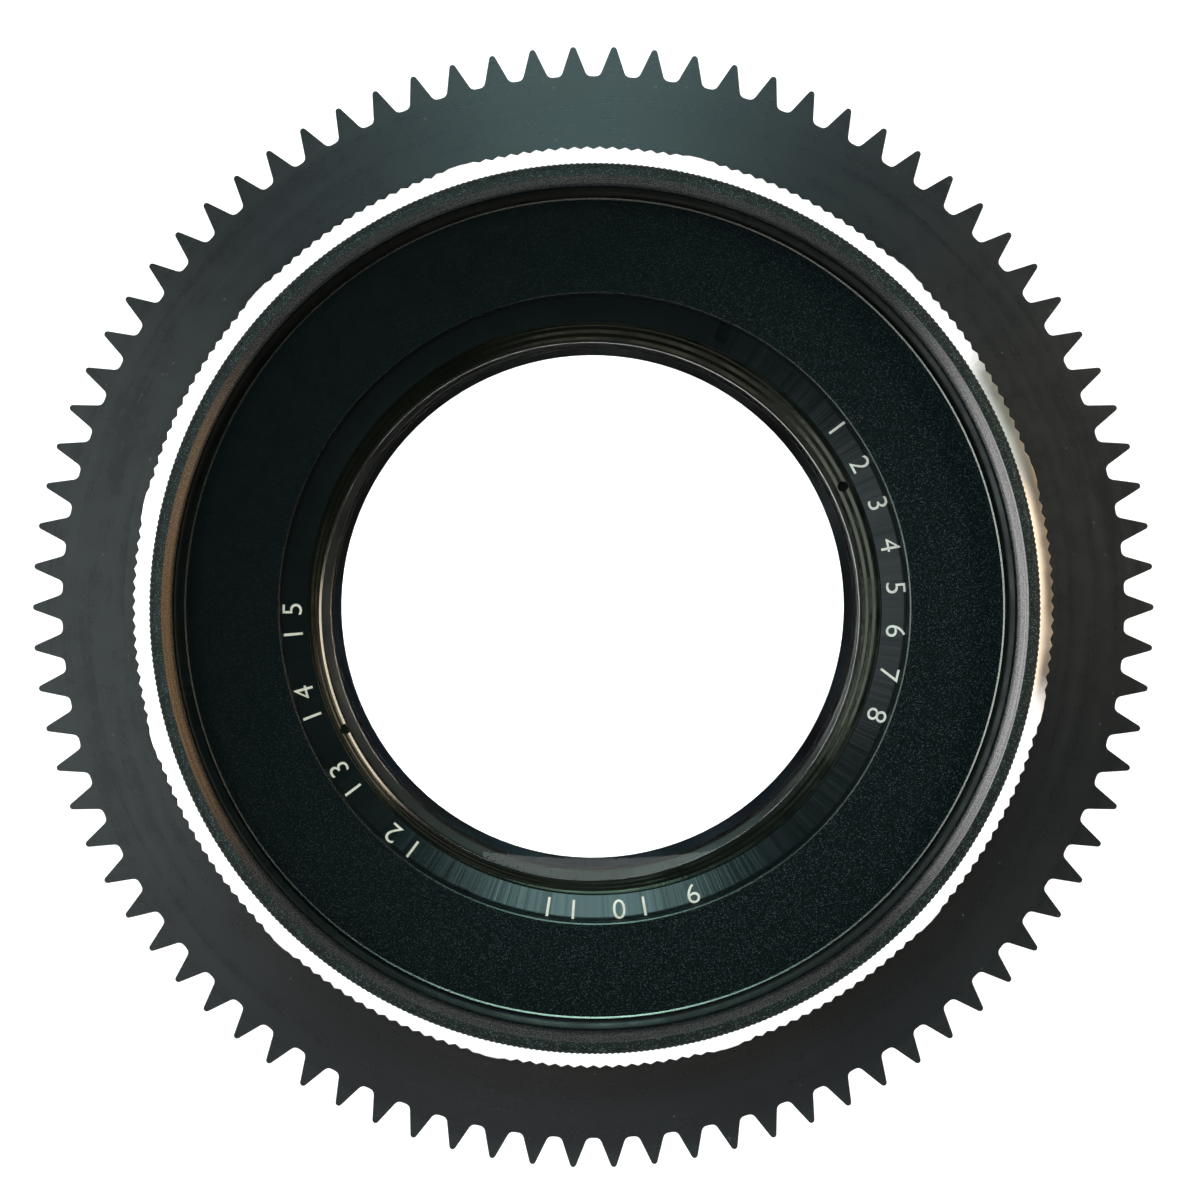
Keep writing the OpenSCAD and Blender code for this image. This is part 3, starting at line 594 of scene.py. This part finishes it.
SPIGOT_R = 20.2
OPENING_R = 19.2
MOUTH_W, MOUTH_DEPTH = 0.09, 0.019          # the broken edge of the opening
PLATE_R = 25.0
FACE_ROWS = (23.0, 21.0)
EDGE_W, EDGE_HIGH = 0.105, 0.021            # the raised lip at the plate's edge
GROOVE_Z = PLATE_Z - 0.8
HOLLOW = ((SEAT_R, 0.28), (25.75, 0.15), (25.5, 0.07), (25.25, 0.02))   # radius, and height over GROOVE_Z
WALL_Z = PLATE_Z - 2.0

profile = [(OPENING_R, SPIGOT_LOW), (SPIGOT_R, SPIGOT_LOW), (SPIGOT_R, RIM_LOW), (SEAT_R, RIM_LOW)]
profile += [(r, GROOVE_Z + rise, GROOVE) for r, rise in HOLLOW]
profile += [(PLATE_R, GROOVE_Z), (PLATE_R, PLATE_Z + EDGE_HIGH, EDGE), (PLATE_R - EDGE_W, PLATE_Z)]
profile += [(r, PLATE_Z) for r in FACE_ROWS]
profile += [(OPENING_R + MOUTH_W, PLATE_Z, MOUTH), (OPENING_R, PLATE_Z - MOUTH_DEPTH), (OPENING_R, WALL_Z)]
step_plate = lathe("step_plate", profile, "head", [ANODISED, EDGE, GROOVE, MOUTH],
                   steps=480, sharp=9)
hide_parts("step_up_plate")


# The retainer of the front glass: a cone with turned grooves and two spanner holes.

RET_LOW, RET_TOP, RET_R = extent("front_retainer")
CLEAR_R = 16.66
NAME_R = 17.6
BURR_W = 0.13
BURR_SLOPE = 0.36
STEPS = 5
SLOPES = (0.19, 0.3)                # of the steps, by turns
TREAD = 0.9                         # the share of a step's width that has this slope
RISER = 0.1                         # how much further the rest of the step falls
LAND = 1.0                          # height of the plain part under the steps
BURR_STEP = STEPS - 0.6             # the burr's depth, in steps
OFF_CENTRE = (-0.226, -0.232)       # of the opening, as it is in the photograph
HOLE_R, HOLE_DEEP = 0.32, 3
HOLE_AT, HOLE_Z = 17.1, RET_TOP - 0.1
HOLE_SIDES = (26, 206)              # degrees

drop = (RET_TOP - RET_LOW - LAND) / STEPS
width = (NAME_R - CLEAR_R - BURR_W) / STEPS
profile = [(CLEAR_R, RET_LOW), (RET_R, RET_LOW), (RET_R, RET_TOP)]
for i in range(STEPS):
    z = RET_TOP - drop * i
    fall = SLOPES[i % 2]
    profile += [(NAME_R - width * i, z), (NAME_R - width * (i + TREAD), z - fall * width),
                (NAME_R - width * (i + 1), z - (fall + RISER) * width)]
burr_z = RET_TOP - drop * BURR_STEP
profile += [(CLEAR_R + BURR_W, burr_z, BURR), (CLEAR_R, burr_z - BURR_SLOPE * BURR_W)]


def retainer_shift(a, i):
    """Moves the opening off the axis, and the steps less and less towards the outside."""
    share = min(1.0, max(0.0, (NAME_R - profile[i][0]) / (NAME_R - CLEAR_R - BURR_W)))
    return share * (OFF_CENTRE[0] * math.cos(a) + OFF_CENTRE[1] * math.sin(a))


retainer = lathe("retainer_ring", profile, "head", [CONE, BURR],
                 steps=360, shift=retainer_shift, sharp=15)
drills = []
for side in HOLE_SIDES:
    bpy.ops.mesh.primitive_cylinder_add(vertices=40, radius=HOLE_R * MM, depth=HOLE_DEEP * MM,
                                        location=spot(HOLE_AT, side, HOLE_Z))
    drills.append(bpy.context.object)
carve(retainer, drills, 20)
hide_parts("front_retainer")


# Glass. Each surface is a true sphere, and each edge is ground and blackened.

LENS_ROWS = 40


def lens(name, node, mat, r, rear, front):
    """A lens of radius r. rear and front: height on the axis, and radius of curvature, negative for a dome."""
    def surface(z, curve, at):
        return z + (curve - math.copysign(math.sqrt(curve * curve - at * at), curve))

    rows = [r * i / LENS_ROWS for i in range(LENS_ROWS)]
    profile = [(at, surface(*rear, at)) for at in rows]
    profile += [(r, surface(*rear, r), BAFFLE), (r, surface(*front, r))]
    profile += [(at, surface(*front, at)) for at in reversed(rows)]
    obj = lathe(name, profile, "head", [mat, BAFFLE], steps=160, closed=False)
    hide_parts(node)


FRONT_Z, FRONT_R = extent("front_element")[1:]
CROWN_Z, PAIR_R = extent("pair_crown")[1:]
REAR_Z, REAR_R = extent("rear_element")[1:]
FRONT_T, CROWN_T, FLINT_T, REAR_T = 6.0, 7.0, 3.0, 4.0      # thicknesses on the axis
CEMENT = 0.02
CEMENT_Z = CROWN_Z - CROWN_T
lens("glass_front", "front_element", GLASS_FRONT, FRONT_R, (FRONT_Z - FRONT_T, -200), (FRONT_Z, -48))
lens("glass_crown", "pair_crown", GLASS_CROWN, PAIR_R, (CEMENT_Z, 120), (CROWN_Z, -38))
lens("glass_flint", "pair_flint", GLASS_FLINT, PAIR_R, (CEMENT_Z - FLINT_T, -34), (CEMENT_Z - CEMENT, 120))
lens("glass_rear", "rear_element", GLASS_REAR, REAR_R, (REAR_Z - REAR_T, -400), (REAR_Z, -120))

PAIR_LOW, PAIR_TOP = extent("pair_retainer")[:2]
PAIR_IN = 15.3
BEAD_R = 0.3
profile = [(PAIR_IN, PAIR_LOW), (PAIR_R, PAIR_LOW), (PAIR_R, PAIR_TOP)]
for t in range(0, 90, 15):
    profile.append((PAIR_IN + BEAD_R - BEAD_R * math.sin(math.radians(t)),
                    PAIR_TOP - BEAD_R + BEAD_R * math.cos(math.radians(t)), BEAD))
profile.append((PAIR_IN, PAIR_TOP - BEAD_R))
pair_ring = lathe("pair_ring", profile, "head", [CELL, BEAD])
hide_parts("pair_retainer")


# The camera mount, with its thread cut.

MOUNT_R = extent("rear_mount")[2]
BORE_R = 18.5
BORE_BREAK = 0.15
THREAD_R = 21.0
THREAD_DEPTH = 0.55
THREAD_PITCH = 1.0
THREAD_LOW, THREAD_TOP = 0.1, 3.9
THREAD_ROWS = 38
THREAD_START = 3            # rows over which it starts
TIP_R = THREAD_R - 0.6
RELIEF_R, RELIEF_Z = THREAD_R - THREAD_DEPTH, 3.95
FLANGE_Z = 4.5
FLANGE_TOP = FLANGE_Z + 3.5
FLANGE_BREAK = 0.3
NECK_R, NECK_TOP = 24.77, 13.0
RECESS_R, RECESS_Z = 20.83, 6.0

profile = [(BORE_R, BORE_BREAK), (BORE_R + BORE_BREAK, 0.0), (TIP_R, 0.0)]
screw_from = len(profile)
profile += run((THREAD_R, THREAD_LOW), (THREAD_R, THREAD_TOP), THREAD_ROWS)
screw_to = len(profile)
profile += [(RELIEF_R, RELIEF_Z), (RELIEF_R, FLANGE_Z),
            (MOUNT_R - FLANGE_BREAK, FLANGE_Z), (MOUNT_R, FLANGE_Z + FLANGE_BREAK),
            (MOUNT_R, FLANGE_TOP - FLANGE_BREAK), (MOUNT_R - FLANGE_BREAK, FLANGE_TOP),
            (NECK_R, FLANGE_TOP), (NECK_R, NECK_TOP), (RECESS_R, NECK_TOP), (RECESS_R, RECESS_Z),
            (BORE_R, RECESS_Z)]


def mount_shift(a, i):
    if screw_from <= i < screw_to:
        ends = min(1.0, (screw_to - 1 - i) / FADE, (i - screw_from) / THREAD_START)
        return -THREAD_DEPTH * (1 - ends * saw(profile[i][1] / THREAD_PITCH - a / TAU))
    return 0.0


mount = lathe("mount_body", profile, "barrel", [ENAMEL],
              steps=192, shift=mount_shift, sharp=32)
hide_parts("rear_mount")


# The thread that shows on the head's sleeve when it is run out.

STARTS = 14
LEAD = TRAVEL * 360 / TURN
HELIX_DEPTH = 0.07
HELIX_ROWS = 80
SLEEVE_R, SLEEVE_CORE = 22.8, 22.6
SLEEVE_LOW, SLEEVE_TOP = 60.4, 80.4
profile = run((SLEEVE_R, SLEEVE_LOW), (SLEEVE_R, SLEEVE_TOP), HELIX_ROWS)
profile += [(SLEEVE_R, SLEEVE_TOP), (SLEEVE_CORE, SLEEVE_TOP), (SLEEVE_CORE, SLEEVE_LOW)]


def helix_shift(a, i):
    if 0 < i < HELIX_ROWS:
        return HELIX_DEPTH * saw(STARTS * (profile[i][1] / LEAD - a / TAU))
    return 0.0


lathe("helicoid_thread", profile, "head", [ALLOY], steps=336, shift=helix_shift, sharp=40)


# The aperture and preset rings: ribs on one half, a smooth numbered band on the other.

GRIP_BORE = 23.45
RIBS = 90
RIB_DEPTH = 0.35
RIB_TOP, RIB_FLANK = 0.35, 0.3      # shares of half a rib's width
RIB_BREAK = 0.3
NUMBER_BAND = 2.5
BAND_INSET = 0.18
BAND_LEAD = 0.14
BAND_BREAK = 0.15


def grip_ring(name, node, body, ribs_first):
    """Makes one ring, and gives its band's radius and the height of the band's middle."""
    z0, z1, r = extent(node)
    tall = z1 - z0
    part = tall - NUMBER_BAND
    band = r - BAND_INSET
    half = [(r - RIB_BREAK, 0.0), (r, RIB_BREAK), (r, part - RIB_BREAK), (r - RIB_BREAK, part),
            (band - 0.1, part + 0.02), (band, part + BAND_LEAD), (band, tall - BAND_BREAK),
            (band - BAND_BREAK, tall)]
    if ribs_first:
        wall = [(q, z0 + h) for q, h in half]
        middle = (z0 + part + BAND_LEAD + z1) / 2
    else:
        wall = [(q, z1 - h) for q, h in reversed(half)]
        middle = (z0 + z1 - part - BAND_LEAD) / 2
    outline = [(GRIP_BORE, z0)] + wall + [(GRIP_BORE, z1)]

    def shift(a, i):
        if outline[i][0] == r:
            return -RIB_DEPTH * min(1.0, max(0.0, (saw(a * RIBS / TAU) - RIB_TOP) / RIB_FLANK))
        return 0.0

    obj = lathe(name, outline, body, [ENAMEL], steps=RIBS * 10, shift=shift, sharp=30)
    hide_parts(node)
    return band, middle


aperture_band, aperture_mid = grip_ring("aperture_grip", "aperture_ring", "aperture", True)
preset_band, preset_mid = grip_ring("preset_grip", "preset_ring", "preset", False)

STOPS = (4, 5.6, 8, 11, 16, 22)
STOP_TEXT, STOP_GAP = 1.75, 0.14
STOP_TEXT_Z = preset_mid - 0.55
STOP_BAR = (0.16, 0.9)
STOP_BAR_Z = aperture_mid + 0.3
INDEX_BAR = (0.3, 1.5)

stop_angles = [INDEX + math.radians(IRIS_TURN * i / (len(STOPS) - 1)) for i in range(len(STOPS))]
numbers = Marks()
for stop, a in zip(STOPS, stop_angles):
    numbers.text("%g" % stop, STOP_TEXT, STOP_GAP, on_drum(preset_band, a, STOP_TEXT_Z))
numbers.make("preset_numbers", "preset", MARK)
index = Marks()
index.bar(*INDEX_BAR, on_drum(aperture_band, INDEX, aperture_mid))
for a in stop_angles[1:]:
    index.bar(*STOP_BAR, on_drum(aperture_band, a, STOP_BAR_Z))
index.make("aperture_index", "aperture", MARK)


# The distance scale, the depth scale and their index.

DIST_LOW, _, DIST_R = extent("distance_scale_band")
FOCAL = 135.0
DISTANCES = (20, 10, 7, 5, 4, 3, 2.5, 2, 1.7, 1.5)          # metres
DIST_TEXT, DIST_GAP = 3.0, 0.3
DIST_TEXT_Z = DIST_LOW + 3.1
DIST_BAR, DIST_BAR_Z = (0.2, 1.7), DIST_LOW + 1.2
END_BAR, END_BAR_Z = (0.32, 2.0), DIST_LOW + 1.3
LOOP_SIDES = 28
LOOP_IN, LOOP_OUT, LOOP_OFF = 0.72, 1.02, 1.0               # the two loops of the infinity mark
LOOP_Z = DIST_LOW + 4.2

scale = Marks()
for metres in DISTANCES:
    travel = FOCAL ** 2 / (metres * 1000 - 2 * FOCAL)
    a = INDEX - math.radians(TURN * travel / TRAVEL)
    scale.text("%g" % metres, DIST_TEXT, DIST_GAP, on_drum(DIST_R, a, DIST_TEXT_Z))
    scale.bar(*DIST_BAR, on_drum(DIST_R, a, DIST_BAR_Z))
for turn in (0.0, TURN):
    scale.bar(*END_BAR, on_drum(DIST_R, INDEX - math.radians(turn), END_BAR_Z))
for side in (-LOOP_OFF, LOOP_OFF):
    corners = [(side + q * math.cos(TAU * k / LOOP_SIDES), q * math.sin(TAU * k / LOOP_SIDES), z)
               for k in range(LOOP_SIDES) for q in (LOOP_IN, LOOP_OUT) for z in (-PAINT, PAINT)]
    loop = []
    for k in range(LOOP_SIDES):
        a, b = 4 * k, 4 * ((k + 1) % LOOP_SIDES)
        loop += [(a, b, b + 1, a + 1), (a + 2, a + 3, b + 3, b + 2),
                 (a + 1, b + 1, b + 3, a + 3), (a, a + 2, b + 2, b)]
    scale.add(corners, loop, on_drum(DIST_R, INDEX, LOOP_Z))
scale.make("distance_numbers", "focus", MARK)

_, DEPTH_TOP, DEPTH_R = extent("depth_scale_band")
# Stop, degrees to either side of the index, and height of the bar.
DEPTH_MARKS = ((4, 4.0, 3.0), (8, 8.0, 2.2), (11, 11.5, 3.0), (16, 16.5, 2.2), (22, 22.5, 3.0))
NOT_NUMBERED = 8
DEPTH_BAR_W, DEPTH_BAR_TOP = 0.18, DEPTH_TOP - 0.4
DEPTH_TEXT, DEPTH_GAP = 1.9, 0.16
DEPTH_TEXT_Z = DEPTH_TOP - 5.6
POINTER = ((-0.9, -1.6), (0.9, -1.6), (0, 1.4))
POINTER_Z = DEPTH_TOP - 1.9

depth = Marks()
for stop, degrees, tall in DEPTH_MARKS:
    for side in (-1, 1):
        a = INDEX + side * math.radians(degrees)
        depth.bar(DEPTH_BAR_W, tall, on_drum(DEPTH_R, a, DEPTH_BAR_TOP - tall / 2))
        if stop != NOT_NUMBERED:
            depth.text("%g" % stop, DEPTH_TEXT, DEPTH_GAP, on_drum(DEPTH_R, a, DEPTH_TEXT_Z))
depth.make("depth_numbers", "barrel", MARK_DARK)
pointer = Marks()
pointer.add([(x, y, z) for z in (-PAINT, PAINT) for x, y in POINTER],
            [(0, 2, 1), (3, 4, 5), (0, 1, 4, 3), (1, 2, 5, 4), (2, 0, 3, 5)],
            on_drum(DEPTH_R, INDEX, POINTER_Z))
pointer.make("depth_index", "barrel", MARK_RED)


# The front ring with its two spanner notches, and plain numbers on it, clockwise with their heads outwards.

NAME_LOW, NAME_Z, NAME_OUT = extent("name_ring")
OUTER_BREAK, INNER_BREAK = 0.08, 0.06
NOTCH_AT = 18.7
NOTCH_SIDES = (65, 245)             # degrees
NOTCH_SIZE = (1.2, 0.8, 1.2)
TEXT_R, TEXT_SIZE, TEXT_WEIGHT = 17.97, 1.75, -0.006
WIDE_STEP, STEP = 8.2, 4.8          # degrees from one character to the next
RING_TEXTS = (("12345678", 36.6, WIDE_STEP), ("9", -71, STEP), ("10", -80.5, STEP), ("11", -94, STEP),
              ("12", -127, STEP), ("13", -143, STEP), ("14", -159, STEP), ("15", -175, STEP))

profile = [(NAME_R, NAME_LOW), (NAME_OUT, NAME_LOW), (NAME_OUT, NAME_Z - OUTER_BREAK),
           (NAME_OUT - OUTER_BREAK, NAME_Z), (NAME_R + INNER_BREAK, NAME_Z), (NAME_R, NAME_Z - INNER_BREAK)]
front_ring = lathe("front_ring", profile, "head", [RING_ENAMEL], steps=384, sharp=30)
notches = []
for side in NOTCH_SIDES:
    bpy.ops.mesh.primitive_cube_add(size=MM, location=spot(NOTCH_AT, side, NAME_Z),
                                    rotation=(0, 0, math.radians(side)), scale=NOTCH_SIZE)
    notches.append(bpy.context.object)
carve(front_ring, notches, 30)
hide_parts("name_ring")

face = Marks()
for text, first, step in RING_TEXTS:
    for i, (verts, faces, _) in enumerate(glyphs(text, TEXT_SIZE, TEXT_WEIGHT)):
        face.add(verts, faces, on_face(TEXT_R, math.radians(first - step * i), NAME_Z))
face.make("front_ring_numbers", "head", MARK)


# Finishes of the solids that show as they are, with the gear's edges slightly broken.

def dress(names, material, edge=0.0):
    for name in names:
        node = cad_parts[name]
        node.data.materials.clear()
        node.data.materials.append(material)
        if edge:
            soft = node.modifiers.new("edge", "BEVEL")
            soft.width = edge * MM
            soft.segments = 2
            soft.limit_method = "ANGLE"
            soft.angle_limit = math.radians(50)


BLADES = ["iris_blade_%02d" % i for i in range(1, 13)]
dress(["rear_barrel", "distance_scale_band", "front_barrel", "ring_retainer", "guide_tube"], ENAMEL)
dress(["focus_gear"], ACETAL, 0.06)
dress(["depth_scale_band", "head_sleeve"], ALLOY)
dress(["focus_ring"], BEVELLED)
dress(["optical_barrel", "rear_cell", "rear_retainer"], BAFFLE)
dress(["helicoid_sleeve", "iris_drive_tube"], BRASS)
dress(["guide_keys", "mount_screws", "focus_snap_ring", "helicoid_screws", "aperture_drive_screw"], STEEL)
dress(BLADES + ["iris_base_plate", "iris_drive_ring"], BLUED)


# Stage, in metres: a pale lit floor, with a lit disc under the bore so that light comes through the glass.

def lit(name, strength):
    """A pale surface that glows upwards and is clear from below, so that the back of the part can be seen."""
    s = Shader(name)
    s.fix("Base Color", (0.4, 0.4, 0.4, 1.0))
    s.fix("Roughness", 0.8)
    s.fix("Emission Color", (1.0, 1.0, 1.0, 1.0))
    s.fix("Emission Strength", strength)
    either = s.node("MixShader")
    s.link(s.node("NewGeometry").outputs["Backfacing"], either.inputs[0])
    s.link(s.bsdf.outputs[0], either.inputs[1])
    s.link(s.node("BsdfTransparent").outputs[0], either.inputs[2])
    s.link(either.outputs[0], s.out.inputs[0])
    return s.material


bpy.ops.mesh.primitive_plane_add(size=12.0, location=(0, 0, -0.0002))
floor = bpy.context.object
floor.name = "floor"
floor.data.materials.append(lit("floor_lit", 0.9))
bpy.ops.mesh.primitive_circle_add(vertices=96, radius=0.0178, fill_type="NGON", location=(0, 0, 0.0001))
table = bpy.context.object
table.name = "light_table"
table.data.materials.append(lit("table_lit", 1.7))


# World: a bright band all round, which is warm towards +X, between a dim top and a dim skirting. The skirting
# is warm towards +X too, and bright towards -X.

DOME_LOW, DOME_TOP = (1.9, 1.9, 1.9), (0.05, 0.068, 0.068)
DOME_TONES = ((0.52, (1.85, 1.87, 1.87)), (0.68, (0.22, 0.25, 0.25)), (0.9, (0.06, 0.08, 0.08)))

world = bpy.data.worlds.new("studio")
bpy.context.scene.world = world
world.use_nodes = True
sky = Nodes(world.node_tree)
axes = sky.node("SeparateXYZ")
sky.link(sky.node("TexCoord").outputs["Generated"], axes.inputs[0])
along_x, along_y, along_z = axes.outputs
dome = sky.node("ValToRGB")
sky.link(along_z, dome.inputs[0])
tones = dome.color_ramp.elements
tones[0].color = (*DOME_LOW, 1)
tones[1].color = (*DOME_TOP, 1)
for height, tone in DOME_TONES:
    tones.new(height).color = (*tone, 1)

bearing = sky.math("ARCTAN2", along_y, along_x)
climb = sky.ramp(along_z, 0.34, 0.54)
cream = sky.mix(climb, (0.16, 0.128, 0.096), (2.6, 2.0, 1.47))
olive = sky.mix(climb, (0.20, 0.20, 0.165), (0.80, 0.86, 0.80))
warm = sky.mix(sky.ramp(bearing, 0.22, 0.32), cream, olive)
warm_side = sky.times(sky.ramp(bearing, -0.24, -0.17), sky.ramp(bearing, 0.62, 0.52))
band = sky.mix(sky.times(warm_side, sky.ramp(along_z, 0.68, 0.58)), dome.outputs[0], warm)
across = sky.ramp(sky.times(along_y, along_y), 0.6, 0.95)
skirting = sky.mix(across, (0.05, 0.062, 0.058), (0.10, 0.125, 0.12))
skirting = sky.mix(sky.ramp(along_x, 0.78, 0.97), skirting, (0.83, 0.51, 0.255))
skirting = sky.mix(sky.ramp(along_x, -0.68, -0.98), skirting, (2.0, 2.0, 2.0))
room = sky.mix(sky.ramp(along_z, 0.16, 0.3), skirting, band)
seen = sky.mix(sky.node("LightPath").outputs["Is Camera Ray"], room, (1.0, 1.0, 1.0))
back = sky.node("Background")
sky.link(seen, back.inputs[0])
sky.link(back.outputs[0], sky.node("OutputWorld").inputs[0])


# Lights and camera, in metres.

LIT_POINT = Vector((0, 0, 0.08))
LIGHT_REACH = 1.2


def softbox(name, direction, size, watts, colour):
    """A light in a direction from the part's front. size is its length round the axis and its width."""
    data = bpy.data.lights.new(name, "AREA")
    data.shape = "RECTANGLE"
    data.size, data.size_y = size
    data.energy = watts
    data.color = colour
    obj = bpy.data.objects.new(name, data)
    obj.location = Vector(direction).normalized() * LIGHT_REACH + LIT_POINT
    obj.rotation_euler = (obj.location - LIT_POINT).to_track_quat("Z", "Y").to_euler()
    bpy.context.scene.collection.objects.link(obj)


softbox("key", (0.0, 0.35, 0.945), (0.2, 0.19), 2.95, (0.58, 1.0, 0.92))
softbox("side", (-0.39, -0.02, 0.92), (0.64, 0.25), 5.0, (0.86, 0.98, 1.0))
softbox("window", (0.59, 0.19, 0.79), (0.62, 0.2), 5.2, (1.0, 0.9, 0.76))
softbox("ember", (0.37, 0.03, 0.92), (0.3, 0.08), 0.05, (1.0, 0.66, 0.42))
softbox("fill", (-0.088, -0.253, 1.0), (0.4, 0.06), 0.34, (0.95, 0.92, 0.88))
softbox("sheen", (0.0, 0.156, 0.98), (0.16, 0.06), 0.24, (0.3, 0.5, 1.0))
softbox("glare", (0.005, -0.0625, 1.2), (0.036, 0.04), 0.022, (0.6, 1.0, 1.0))
softbox("glare_right", (0.05, 0.0, 1.2), (0.05, 0.04), 0.0075, (0.85, 0.97, 1.0))

# Straight on the front, a hair off the axis as in the photograph.
EYE = Vector((-0.0026, 0.00228, 0.678))
AIM = Vector((0.00041, 0.00045, 0.078))
forward = (AIM - EYE).normalized()
right = forward.cross(Vector((0, 1, 0))).normalized()
up = right.cross(forward)
camera_data = bpy.data.cameras.new("camera")
camera_data.sensor_width = 36.0
camera_data.lens = 286.6
camera = bpy.data.objects.new("camera", camera_data)
camera.matrix_world = Matrix.Translation(EYE) @ Matrix((right, up, -forward)).transposed().to_4x4()
bpy.context.scene.collection.objects.link(camera)
bpy.context.scene.camera = camera
bpy.context.scene.view_settings.view_transform = "Standard"
